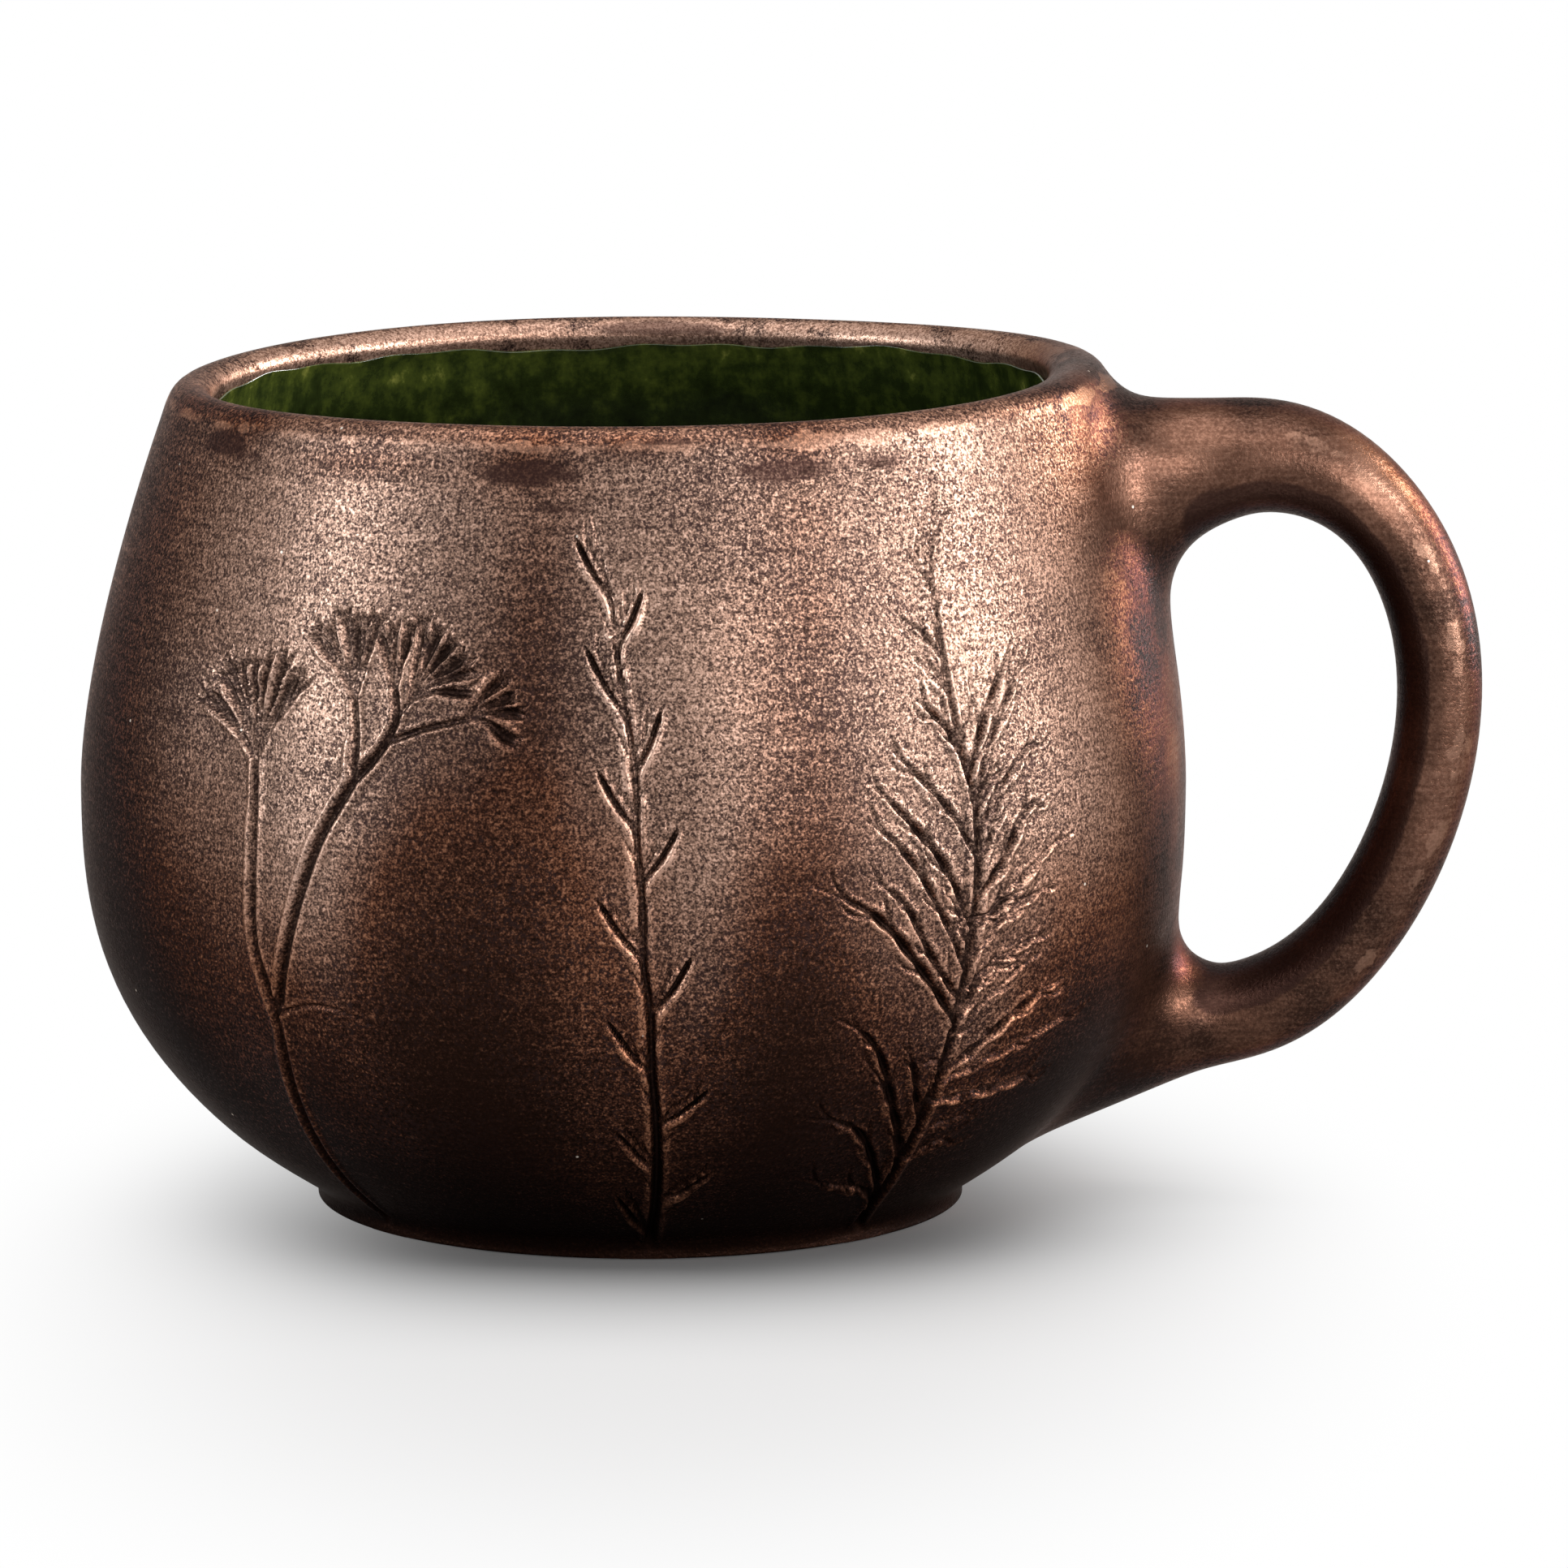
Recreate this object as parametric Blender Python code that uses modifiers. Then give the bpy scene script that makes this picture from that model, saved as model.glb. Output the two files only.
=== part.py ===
"""Hand-built stoneware mug, in metres, +Z up.

The handle points towards +X, and the origin is the middle of the foot. A slab wall, bellied out by hand,
stands on a base disc. A seam coil fills the corner between them, a rolled loop handle is luted on at both
ends, and a glaze lining covers the inside. Every piece is drawn on an ideal round mug first. hand_shaped()
then presses the same finger valleys and the same rise of the rim into all of them, so that what seats
together stays seated.
"""

import collections
import math

import bmesh
import bpy
import numpy as np
from mathutils import Vector
from mathutils.geometry import interpolate_bezier

# Wall
MUG_HEIGHT = 0.0826
RIM_RADIUS = 0.0454
BELLY_RADIUS = 0.0546
BELLY_HEIGHT = 0.0420
NECK_RADIUS = 0.0298  # where the bowl's curve would reach the table
SHOULDER_POWER = 1.6  # how late the shoulder turns in towards the rim
BOWL_POWER = 2.95  # how late the bowl turns in towards the foot
WALL_THICKNESS = 0.0042
LIP_ROUNDING = 0.0024

# Base disc and foot
BASE_THICKNESS = 0.0052
FOOT_RADIUS = 0.0326
FOOT_HEIGHT = 0.0024
FOOT_EDGE = 0.0008

# Joints between the pieces
SEAT_GAP = 0.0003
SLIP_THICKNESS = 0.0006
SLIP_SETBACK = 0.0012  # from the edge of a joint to the slip inside it

# Seam coil and glaze lining
SEAM_COIL_REACH = 0.0100  # up the wall and over the floor, from the corner between them
COIL_EDGE = 0.0004
CORNER_FULLNESS = 0.6  # 0 leaves the inside corner chamfered and 1 leaves it square
GLAZE_THICKNESS = 0.0008
GLAZE_BELOW_RIM = 0.0034

# Handle, by the middle of its section
UPPER_ARM_BELOW_RIM = 0.0090
LOWER_ARM_HEIGHT = 0.0188
HANDLE_REACH = 0.0246  # from the belly to the middle of the grip
ARM_STANDOFF = 0.0040  # from the belly to where the arms begin to turn
GRIP_LEAN = 0.0016  # fuller at the upper corner and tighter at the lower one
UPPER_ARM_THICKNESS = 0.0109
UPPER_ARM_WIDTH = 0.0148
GRIP_THICKNESS = 0.0084
GRIP_WIDTH = 0.0122
GRIP_EVEN = 0.48  # share of each half of the loop over which the grip's section stays even
LOWER_ARM_THICKNESS = 0.0095
LOWER_ARM_WIDTH = 0.0140

# How far the smoothed clay of each root spreads over the wall
UPPER_ROOT_RISE = 0.0012
UPPER_ROOT_FALL = 0.0138
LOWER_ROOT_RISE = 0.0085
LOWER_ROOT_FALL = 0.0098
ROOT_SPREAD = 0.0085
ROOT_CROWDING = 1.7  # sections crowd towards the wall, where a root spreads fastest

# Hand shaping. Each valley has its angle from the handle, in degrees, and its width over the wall
VALLEY_DEPTH = 0.0011
VALLEYS = (
    (40.0, 0.0105),
    (90.0, 0.0075),
    (136.0, 0.0085),
    (226.0, 0.0085),
    (271.0, 0.0075),
    (307.0, 0.0105),
)
VALLEY_FOOT = 0.0180  # below this height the valleys run out towards the foot
VALLEY_FADE = 0.0440  # above this height they run out towards the rim
RIM_RISE = 0.0011  # the rim stands higher beside the handle and lower opposite it
RIM_OVAL = 0.0004

# Facets
TURN_STEPS = 64
WALL_RINGS = 17
INNER_RINGS = 12
CORNER_RINGS = 8
CURVE_SAMPLES = 200
LIP_RINGS = 8
SECTION_SIDES = 20
GRIP_SECTIONS = 20
ROOT_SECTIONS = 8
PAD_SHARES = (0.35, 0.7, 1.0)
SHARP_ANGLE = math.radians(40.0)
WELD = 0.00001

# facing is 1 where the outside of the loop looks up, and -1 where it looks down
Arm = collections.namedtuple("Arm", "height thickness width rise fall facing")
UPPER_ARM = Arm(
    height=MUG_HEIGHT - UPPER_ARM_BELOW_RIM,
    thickness=UPPER_ARM_THICKNESS,
    width=UPPER_ARM_WIDTH,
    rise=UPPER_ROOT_RISE,
    fall=UPPER_ROOT_FALL,
    facing=1,
)
LOWER_ARM = Arm(
    height=LOWER_ARM_HEIGHT,
    thickness=LOWER_ARM_THICKNESS,
    width=LOWER_ARM_WIDTH,
    rise=LOWER_ROOT_RISE,
    fall=LOWER_ROOT_FALL,
    facing=-1,
)


def clear_scene():
    for obj in list(bpy.data.objects):
        bpy.data.objects.remove(obj, do_unlink=True)


def ease(t):
    t = min(max(t, 0.0), 1.0)
    return t * t * (3.0 - 2.0 * t)


def spaced(first, last, count):
    return [first + (last - first) * i / (count - 1) for i in range(count)]


def outer_radius(z):
    """Radius of the ideal round wall at a height."""
    if z >= BELLY_HEIGHT:
        share = min((z - BELLY_HEIGHT) / (MUG_HEIGHT - BELLY_HEIGHT), 1.0)
        return BELLY_RADIUS - (BELLY_RADIUS - RIM_RADIUS) * share**SHOULDER_POWER
    share = min((BELLY_HEIGHT - z) / BELLY_HEIGHT, 1.0)
    return BELLY_RADIUS - (BELLY_RADIUS - NECK_RADIUS) * share**BOWL_POWER


def outward(z):
    """Unit normal of the wall at a height, as (radial, vertical)."""
    step = MUG_HEIGHT / 400.0
    slope = (outer_radius(z + step) - outer_radius(z - step)) / (2.0 * step)
    length = math.hypot(1.0, slope)
    return 1.0 / length, -slope / length


def beside_wall(z, offset):
    """(radius, height) of the point that lies offset out from the wall's outer face at level z."""
    radial, vertical = outward(z)
    return outer_radius(z) + offset * radial, z + offset * vertical


def level_for(height, offset):
    """The level of the outer face whose point at this offset lies at this height."""
    z = height
    for _ in range(12):
        z += height - beside_wall(z, offset)[1]
    return z


def radius_at(height, offset):
    return beside_wall(level_for(height, offset), offset)[0]


def levels(low, high, count):
    """Levels from low to high, evenly spaced along the curve of the outer face."""
    heights = np.linspace(low, high, CURVE_SAMPLES)
    radii = [outer_radius(z) for z in heights]
    run = np.cumsum(np.hypot(np.diff(heights), np.diff(radii)))
    run = np.concatenate([[0.0], run])
    return [float(z) for z in np.interp(np.linspace(0.0, run[-1], count), run, heights)]


def hand_shaped(point):
    """Where the potter's hands pushed a point of the ideal round mug."""
    angle = math.atan2(point.y, point.x)
    share = min(max(point.z / MUG_HEIGHT, 0.0), 1.0)
    press = 0.0
    for degrees, width in VALLEYS:
        turn = (angle - math.radians(degrees) + math.pi) % (2.0 * math.pi) - math.pi
        press += math.exp(-((turn * BELLY_RADIUS / width) ** 2))
    press *= ease(point.z / VALLEY_FOOT) * (1.0 - ease((point.z - VALLEY_FADE) / (MUG_HEIGHT - VALLEY_FADE)))
    shift = RIM_OVAL * math.cos(2.0 * angle) * share - VALLEY_DEPTH * press
    stretch = 1.0 + shift / outer_radius(point.z)
    lift = RIM_RISE * share**3 * point.x / RIM_RADIUS
    return Vector((point.x * stretch, point.y * stretch, point.z + lift))


def material(name, colour, roughness, metallic=0.0):
    made = bpy.data.materials.new(name)
    made.use_nodes = True
    shader = made.node_tree.nodes["Principled BSDF"]
    shader.inputs["Base Color"].default_value = (*colour, 1.0)
    shader.inputs["Roughness"].default_value = roughness
    shader.inputs["Metallic"].default_value = metallic
    return made


def add_piece(name, mesh, finish):
    """Gives a mesh its hand-shaped form and its finish, and adds it to the mug."""
    for vertex in mesh.vertices:
        vertex.co = hand_shaped(vertex.co)
    mesh.materials.clear()
    mesh.materials.append(finish)
    mesh.shade_smooth()
    mesh.set_sharp_from_angle(angle=SHARP_ANGLE)
    piece = bpy.data.objects.new(name, mesh)
    bpy.data.collections["pottery_mug"].objects.link(piece)


def turned(name, profile, finish, closed=True):
    """Turns a profile of (radius, height) points about Z. An open one starts and ends on the axis."""
    count = len(profile)
    edges = [(i, (i + 1) % count) for i in range(count if closed else count - 1)]
    outline = bpy.data.meshes.new(name)
    outline.from_pydata([(radius, 0.0, height) for radius, height in profile], edges, [])
    guide = bpy.data.objects.new(name + "_profile", outline)
    bpy.context.scene.collection.objects.link(guide)
    screw = guide.modifiers.new("turn", "SCREW")
    screw.steps = TURN_STEPS
    screw.render_steps = TURN_STEPS
    screw.use_merge_vertices = True
    screw.merge_threshold = WELD
    bpy.context.view_layer.update()
    graph = bpy.context.evaluated_depsgraph_get()
    mesh = bpy.data.meshes.new_from_object(guide.evaluated_get(graph))
    bpy.data.objects.remove(guide, do_unlink=True)
    solid = bmesh.new()
    solid.from_mesh(mesh)
    bmesh.ops.remove_doubles(solid, verts=solid.verts, dist=WELD)
    bmesh.ops.recalc_face_normals(solid, faces=solid.faces)
    solid.to_mesh(mesh)
    solid.free()
    add_piece(name, mesh, finish)


def lofted(name, rings, finish):
    """Skins a solid through rings of equally many points, and fills the first ring and the last."""
    solid = bmesh.new()
    loops = [[solid.verts.new(point) for point in ring] for ring in rings]
    for near, far in zip(loops, loops[1:]):
        for side in range(SECTION_SIDES):
            after = (side + 1) % SECTION_SIDES
            solid.faces.new((near[side], near[after], far[after], far[side]))
    solid.faces.new(loops[0])
    solid.faces.new(loops[-1])
    bmesh.ops.recalc_face_normals(solid, faces=solid.faces)
    mesh = bpy.data.meshes.new(name)
    solid.to_mesh(mesh)
    solid.free()
    add_piece(name, mesh, finish)


def lip_points():
    """The rounded lip, from the inner face over to the outer one."""
    shoulder = MUG_HEIGHT - LIP_ROUNDING
    outer = outer_radius(shoulder)
    inner = radius_at(shoulder, -WALL_THICKNESS)
    middle, half = (outer + inner) / 2.0, (outer - inner) / 2.0
    turns = spaced(math.pi, 0.0, LIP_RINGS + 1)[1:-1]
    return [(middle + half * math.cos(t), shoulder + LIP_ROUNDING * math.sin(t)) for t in turns]


def inner_levels():
    """The levels at which both the wall's inside and the lining on it have their rings."""
    low = level_for(BASE_THICKNESS + SEAT_GAP, -WALL_THICKNESS)
    high = level_for(MUG_HEIGHT - LIP_ROUNDING, -WALL_THICKNESS)
    return levels(low, high, INNER_RINGS)


def build_wall(finish):
    low, high = BASE_THICKNESS + SEAT_GAP, MUG_HEIGHT - LIP_ROUNDING
    outer = [(outer_radius(z), z) for z in levels(low, high, WALL_RINGS)]
    inner = [beside_wall(z, -WALL_THICKNESS) for z in inner_levels()]
    turned("wall", outer[::-1] + inner + lip_points(), finish)


def slip_ring():
    """Inner and outer radius of the slip between wall and base disc, and the height of its underside."""
    low = BASE_THICKNESS - SLIP_THICKNESS
    inner = radius_at(BASE_THICKNESS + SEAT_GAP, -WALL_THICKNESS)
    outer = outer_radius(low - SEAT_GAP)
    return inner + SLIP_SETBACK, outer - SLIP_SETBACK, low


def build_base_disc(finish):
    """The base, with a shallow channel for the slip under the wall and a narrower foot below."""
    inner, outer, low = slip_ring()
    channel = [
        (inner - SEAT_GAP, BASE_THICKNESS),
        (inner - SEAT_GAP, low - SEAT_GAP),
        (outer + SEAT_GAP, low - SEAT_GAP),
        (outer + SEAT_GAP, BASE_THICKNESS),
    ]
    flank = [(outer_radius(z), z) for z in spaced(BASE_THICKNESS, FOOT_HEIGHT + FOOT_EDGE, 4)]
    edge = [
        (FOOT_RADIUS - FOOT_EDGE + FOOT_EDGE * math.cos(t), FOOT_EDGE - FOOT_EDGE * math.sin(t))
        for t in spaced(0.0, math.pi / 2.0, 4)
    ]
    foot = [(FOOT_RADIUS, FOOT_HEIGHT)] + edge
    profile = [(0.0, BASE_THICKNESS)] + channel + flank + foot + [(0.0, 0.0)]
    turned("base_disc", profile, finish, closed=False)


def build_base_slip(finish):
    inner, outer, low = slip_ring()
    ring = [(outer, BASE_THICKNESS), (outer, low), (inner, low), (inner, BASE_THICKNESS)]
    turned("base_joint_slip", ring, finish)


def corner_point(offset):
    """The corner between the wall's inside and the floor, offset from both."""
    floor = BASE_THICKNESS + offset
    return Vector((radius_at(floor, -WALL_THICKNESS - offset), floor))


def corner_level():
    """The level opposite which the seam coil ends on the wall, found by halving."""
    low, high = level_for(BASE_THICKNESS, -WALL_THICKNESS), MUG_HEIGHT
    for _ in range(30):
        middle = (low + high) / 2.0
        reach = (Vector(beside_wall(middle, -WALL_THICKNESS)) - corner_point(0.0)).length
        low, high = (middle, high) if reach < SEAM_COIL_REACH else (low, middle)
    return low


def corner_curve(offset):
    """The rounded corner of the inside, from wall to floor, offset into the cavity from what it covers."""
    corner = corner_point(offset)
    start = Vector(beside_wall(corner_level(), -WALL_THICKNESS - offset))
    end = Vector((corner_point(0.0).x - SEAM_COIL_REACH, corner.y))
    pulls = start.lerp(corner, CORNER_FULLNESS), end.lerp(corner, CORNER_FULLNESS)
    bend = interpolate_bezier(start, *pulls, end, CORNER_RINGS)
    return [(point.x, point.y) for point in bend]


def inside_curve(offset):
    """The whole inside, from the glaze line below the rim down to the middle of the floor."""
    glaze_line = MUG_HEIGHT - GLAZE_BELOW_RIM
    behind = -WALL_THICKNESS - offset
    top = level_for(glaze_line, behind)
    edge = (radius_at(glaze_line, behind), glaze_line)
    side = [beside_wall(z, behind) for z in inner_levels()[::-1] if corner_level() < z < top]
    return [edge] + side + corner_curve(offset) + [(0.0, BASE_THICKNESS + offset)]


def build_glaze_lining(finish):
    covered = inside_curve(SEAT_GAP)
    surface = inside_curve(SEAT_GAP + GLAZE_THICKNESS)
    turned("glaze_lining", surface[::-1] + covered, finish, closed=False)


def build_seam_coil(finish):
    """The coil in the corner: the lining lies on its hollow face, the wall and the floor behind it."""
    floor = BASE_THICKNESS + SEAT_GAP
    behind = -WALL_THICKNESS - SEAT_GAP
    hollow = [
        (radius, height)
        for radius, height in corner_curve(0.0)
        if height > floor + COIL_EDGE and radius_at(height, behind) > radius + COIL_EDGE
    ]
    back = [(radius_at(z, behind), z) for z in spaced(hollow[0][1], floor, 4)]
    turned("seam_coil", back + [(hollow[-1][0], floor)] + hollow[::-1], finish)


def section_turns():
    return [2.0 * math.pi * i / SECTION_SIDES for i in range(SECTION_SIDES)]


def fillet(spread, offset):
    """How much wider than its arm a root is at a distance off the wall, as a quarter round."""
    if offset >= spread:
        return 0.0
    return spread - math.sqrt(spread**2 - (spread - offset) ** 2)


def root_reach(arm, offset):
    """How far the root reaches up, down and sideways from its middle, at an offset from the wall."""
    half_thickness, half_width = arm.thickness / 2.0, arm.width / 2.0
    rise, fall, side = (fillet(spread, offset) for spread in (arm.rise, arm.fall, ROOT_SPREAD))
    return half_thickness + rise, half_thickness + fall, half_width + side


def pad_reach(arm, setback):
    """The same for the slip pad, which stays under the arm itself."""
    half_thickness, half_width = arm.thickness / 2.0 - setback, arm.width / 2.0 - setback
    return half_thickness, half_thickness, half_width


def hugging_ring(arm, offset, reach, share=1.0):
    """An egg-shaped ring that follows the wall at an offset."""
    up, down, half_width = reach
    ring = []
    for turn in section_turns():
        rise = arm.facing * math.cos(turn) * share
        level = arm.height + rise * (up if rise > 0.0 else down)
        radius = radius_at(level, offset)
        angle = share * math.sin(turn) * half_width / radius
        ring.append(Vector((radius * math.cos(angle), radius * math.sin(angle), level)))
    return ring


def flat_ring(centre, away, thickness, width):
    """An elliptical section across the handle. away points out of the loop, in the handle's plane."""
    return [
        centre + away * (math.cos(turn) * thickness / 2.0) + Vector((0.0, math.sin(turn) * width / 2.0, 0.0))
        for turn in section_turns()
    ]


def end_rings(arm):
    """The face on the wall, from the middle of the bed that holds the slip out to the root's thin edge."""
    bed_reach = pad_reach(arm, SLIP_SETBACK - SEAT_GAP)
    bed_offset = 2.0 * SEAT_GAP + SLIP_THICKNESS
    edge_reach = root_reach(arm, SEAT_GAP)
    between = [(near + far) / 2.0 for near, far in zip(bed_reach, edge_reach)]
    rings = [hugging_ring(arm, bed_offset, bed_reach, share) for share in PAD_SHARES]
    rings.append(hugging_ring(arm, SEAT_GAP, bed_reach))
    rings.append(hugging_ring(arm, SEAT_GAP, between))
    return rings


def root_rings(arm):
    """Sections from the root's thin edge on the wall out to the arm where the grip starts."""
    start = grip_point(arm.facing * math.pi / 2.0)
    wall_x = outer_radius(arm.height)
    away = Vector((0.0, 0.0, arm.facing))
    rings = []
    for i in range(ROOT_SECTIONS):
        share = i / ROOT_SECTIONS
        offset = SEAT_GAP + (start.x - wall_x - SEAT_GAP) * share**ROOT_CROWDING
        hugging = hugging_ring(arm, offset, root_reach(arm, offset))
        up, down, half_width = root_reach(arm, offset)
        centre = Vector((wall_x + offset, 0.0, arm.height + (up - down) / 2.0))
        flat = flat_ring(centre, away, up + down, 2.0 * half_width)
        rings.append([near.lerp(far, ease(share)) for near, far in zip(hugging, flat)])
    return rings


def grip_point(turn):
    """The middle of the handle's section, as turn runs from a quarter turn up to a quarter turn down."""
    half_rise = (UPPER_ARM.height - LOWER_ARM.height) / 2.0
    lean = GRIP_LEAN * math.sin(2.0 * turn)
    across = (HANDLE_REACH - ARM_STANDOFF + lean) * math.cos(turn)
    along = (half_rise + lean) * math.sin(turn)
    return Vector((BELLY_RADIUS + ARM_STANDOFF + across, 0.0, LOWER_ARM.height + half_rise + along))


def grip_rings():
    rings = []
    nudge = 0.01
    for turn in spaced(math.pi / 2.0, -math.pi / 2.0, GRIP_SECTIONS + 1):
        ahead = grip_point(turn - nudge) - grip_point(turn + nudge)
        away = Vector((-ahead.z, 0.0, ahead.x)).normalized()
        arm = UPPER_ARM if turn > 0.0 else LOWER_ARM
        share = ease((abs(turn) / (math.pi / 2.0) - GRIP_EVEN) / (1.0 - GRIP_EVEN))
        thickness = GRIP_THICKNESS + (arm.thickness - GRIP_THICKNESS) * share
        width = GRIP_WIDTH + (arm.width - GRIP_WIDTH) * share
        rings.append(flat_ring(grip_point(turn), away, thickness, width))
    return rings


def build_handle(finish):
    upper = end_rings(UPPER_ARM) + root_rings(UPPER_ARM)
    lower = end_rings(LOWER_ARM) + root_rings(LOWER_ARM)
    lofted("handle", upper + grip_rings() + lower[::-1], finish)


def build_handle_slip(name, arm, finish):
    """The slip between one end of the handle and the wall, as a pad that follows the wall."""
    reach = pad_reach(arm, SLIP_SETBACK)
    near = [hugging_ring(arm, SEAT_GAP, reach, share) for share in PAD_SHARES]
    far = [hugging_ring(arm, SEAT_GAP + SLIP_THICKNESS, reach, share) for share in PAD_SHARES]
    lofted(name, near + far[::-1], finish)


clear_scene()
bpy.context.scene.collection.children.link(bpy.data.collections.new("pottery_mug"))
slip = material("dried_slip", (0.110, 0.055, 0.035), 0.90)
build_wall(material("bronze_lustre_stoneware", (0.190, 0.096, 0.068), 0.45, 0.60))
build_base_disc(material("dark_foot_stoneware", (0.040, 0.022, 0.017), 0.60, 0.30))
build_base_slip(slip)
build_seam_coil(material("raw_stoneware", (0.120, 0.065, 0.042), 0.85))
build_handle(material("rubbed_lustre_stoneware", (0.250, 0.130, 0.098), 0.42, 0.60))
build_handle_slip("upper_joint_slip", UPPER_ARM, slip)
build_handle_slip("lower_joint_slip", LOWER_ARM, slip)
build_glaze_lining(material("green_glaze", (0.035, 0.050, 0.008), 0.12))
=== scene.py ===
import math

import bmesh
import bpy
import numpy as np
from mathutils import Matrix, Vector


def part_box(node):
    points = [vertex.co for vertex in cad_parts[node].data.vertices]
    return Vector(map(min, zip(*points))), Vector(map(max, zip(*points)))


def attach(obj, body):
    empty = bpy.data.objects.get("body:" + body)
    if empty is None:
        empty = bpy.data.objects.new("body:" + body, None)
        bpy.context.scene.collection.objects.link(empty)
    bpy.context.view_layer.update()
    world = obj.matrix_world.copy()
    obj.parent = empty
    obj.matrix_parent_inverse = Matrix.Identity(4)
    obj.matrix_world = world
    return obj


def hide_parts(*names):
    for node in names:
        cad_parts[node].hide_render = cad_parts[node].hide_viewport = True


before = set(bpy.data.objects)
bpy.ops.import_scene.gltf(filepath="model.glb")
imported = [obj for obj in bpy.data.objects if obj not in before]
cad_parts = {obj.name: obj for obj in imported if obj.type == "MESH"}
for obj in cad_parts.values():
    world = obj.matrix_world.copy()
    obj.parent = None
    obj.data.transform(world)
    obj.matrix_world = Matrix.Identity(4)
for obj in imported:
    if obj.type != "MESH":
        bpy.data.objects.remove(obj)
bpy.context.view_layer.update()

mm = 0.001
weld = 0.001 * mm

# The mug's form as the CAD model has it, in metres, and what the hand adds to it
form = {
    "height": 0.0826,
    "rimRadius": 0.0454,
    "bellyRadius": 0.0546,
    "bellyHeight": 0.0420,
    "neckRadius": 0.0298,       # where the bowl's curve would reach the table
    "shoulderPower": 1.6,
    "bowlPower": 2.95,
    "thickness": 0.0042,
    "floor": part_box("base_disc")[1][2],
    "footRadius": 0.0326,
    "footHeight": 0.0024,
    "valleys": ((40, 10.5), (90, 7.5), (136, 8.5), (226, 8.5), (271, 7.5), (307, 10.5)),  # degrees, mm
    "valleyDepth": 0.0011,
    "valleyFoot": 0.0180,
    "valleyFade": 0.0440,
    "rimRise": 0.0011,
    "rimOval": 0.0004,
    "unevenness": 0.00018,      # of the hand-built wall, in long, shallow waves: share, turns, rise, start
    "waves": ((1.0, 3.0, 0.013, 0.9), (0.6, 5.0, -0.009, 2.0)),
    "wavesFoot": 0.0140,
    "rimWave": 0.00022,
    "thickLip": 0.0017,         # more clay inside the lip, towards the handle
    "thickLipFrom": 0.0670,
    "thickLipOver": 0.0100,
    "thickLipAngle": math.radians(28),
    "footPinch": 0.0009,        # the foot is a little narrower opposite the handle
    "footPinchTo": 0.0080,
    "footPinchAngle": math.radians(50),
}


def ease(share):
    share = np.clip(share, 0.0, 1.0)
    return share * share * (3.0 - 2.0 * share)


def risen(value, start, over):
    # 0 up to start, and 1 from so much further on
    return ease((value - start) / over)


def outerRadius(z):
    # radius of the ideal round wall at a height
    above = np.clip((z - form["bellyHeight"]) / (form["height"] - form["bellyHeight"]), 0.0, 1.0)
    below = np.clip((form["bellyHeight"] - z) / form["bellyHeight"], 0.0, 1.0)
    inToRim = (form["bellyRadius"] - form["rimRadius"]) * above ** form["shoulderPower"]
    inToFoot = (form["bellyRadius"] - form["neckRadius"]) * below ** form["bowlPower"]
    return form["bellyRadius"] - inToRim - inToFoot


def outward(z):
    # unit normal of the wall at a height, as radial and vertical shares
    step = form["height"] / 400.0
    slope = (outerRadius(z + step) - outerRadius(z - step)) / (2.0 * step)
    length = np.hypot(1.0, slope)
    return 1.0 / length, -slope / length


def besideWall(z, offset):
    radial, vertical = outward(z)
    return outerRadius(z) + offset * radial, z + offset * vertical


def levelFor(height, offset):
    # the level of the outer face whose point at this offset lies at this height, found in a few rounds
    z = height
    for _ in range(12):
        z = z + height - besideWall(z, offset)[1]
    return z


def radiusAt(height, offset):
    return besideWall(levelFor(height, offset), offset)[0]


def handShaped(points):
    # the finger valleys and the slightly oval, rising rim, as on every CAD piece, and the hand's unevenness
    x, y, z = points.T
    angle = np.arctan2(y, x)
    inset = np.clip((outerRadius(z) - np.hypot(x, y)) / form["thickness"], 0.0, 1.0)
    share = np.clip(z / form["height"], 0.0, 1.0)
    press = np.zeros(len(points))
    for degrees, width in form["valleys"]:
        turn = (angle - math.radians(degrees) + math.pi) % (2.0 * math.pi) - math.pi
        press += np.exp(-((turn * form["bellyRadius"] / (width * mm)) ** 2))
    fade = (z - form["valleyFade"]) / (form["height"] - form["valleyFade"])
    press *= ease(z / form["valleyFoot"]) * (1.0 - ease(fade))
    shift = form["rimOval"] * np.cos(2.0 * angle) * share - form["valleyDepth"] * press
    wave = sum(share * np.sin(turns * angle + z / rise + start) for share, turns, rise, start in form["waves"])
    shift += form["unevenness"] * wave * ease(z / form["wavesFoot"])
    nearHandle = np.exp(-((angle / form["thickLipAngle"]) ** 2))
    shift -= form["thickLip"] * inset * nearHandle * ease((z - form["thickLipFrom"]) / form["thickLipOver"])
    opposite = np.exp(-(((np.abs(angle) - math.pi) / form["footPinchAngle"]) ** 2))
    shift -= form["footPinch"] * opposite * (1.0 - ease(z / form["footPinchTo"]))
    stretch = 1.0 + shift / outerRadius(z)
    lift = form["rimRise"] * share ** 3 * x / form["rimRadius"]
    lift += form["rimWave"] * share ** 6 * np.sin(3.0 * angle + 1.2)
    return np.stack([x * stretch, y * stretch, z + lift], axis=1)


def evenLevels(low, high, step):
    # levels from low to high, evenly spaced along the curve of the outer face
    heights = np.linspace(low, high, 600)
    run = np.hypot(np.diff(heights), np.diff(outerRadius(heights)))
    run = np.concatenate([[0.0], np.cumsum(run)])
    return np.interp(np.linspace(0.0, run[-1], round(run[-1] / step) + 1), run, heights)


def pointsOf(bm):
    return np.array([vertex.co[:] for vertex in bm.verts])


def placePoints(bm, points):
    for vertex, point in zip(bm.verts, points):
        vertex.co = point


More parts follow.
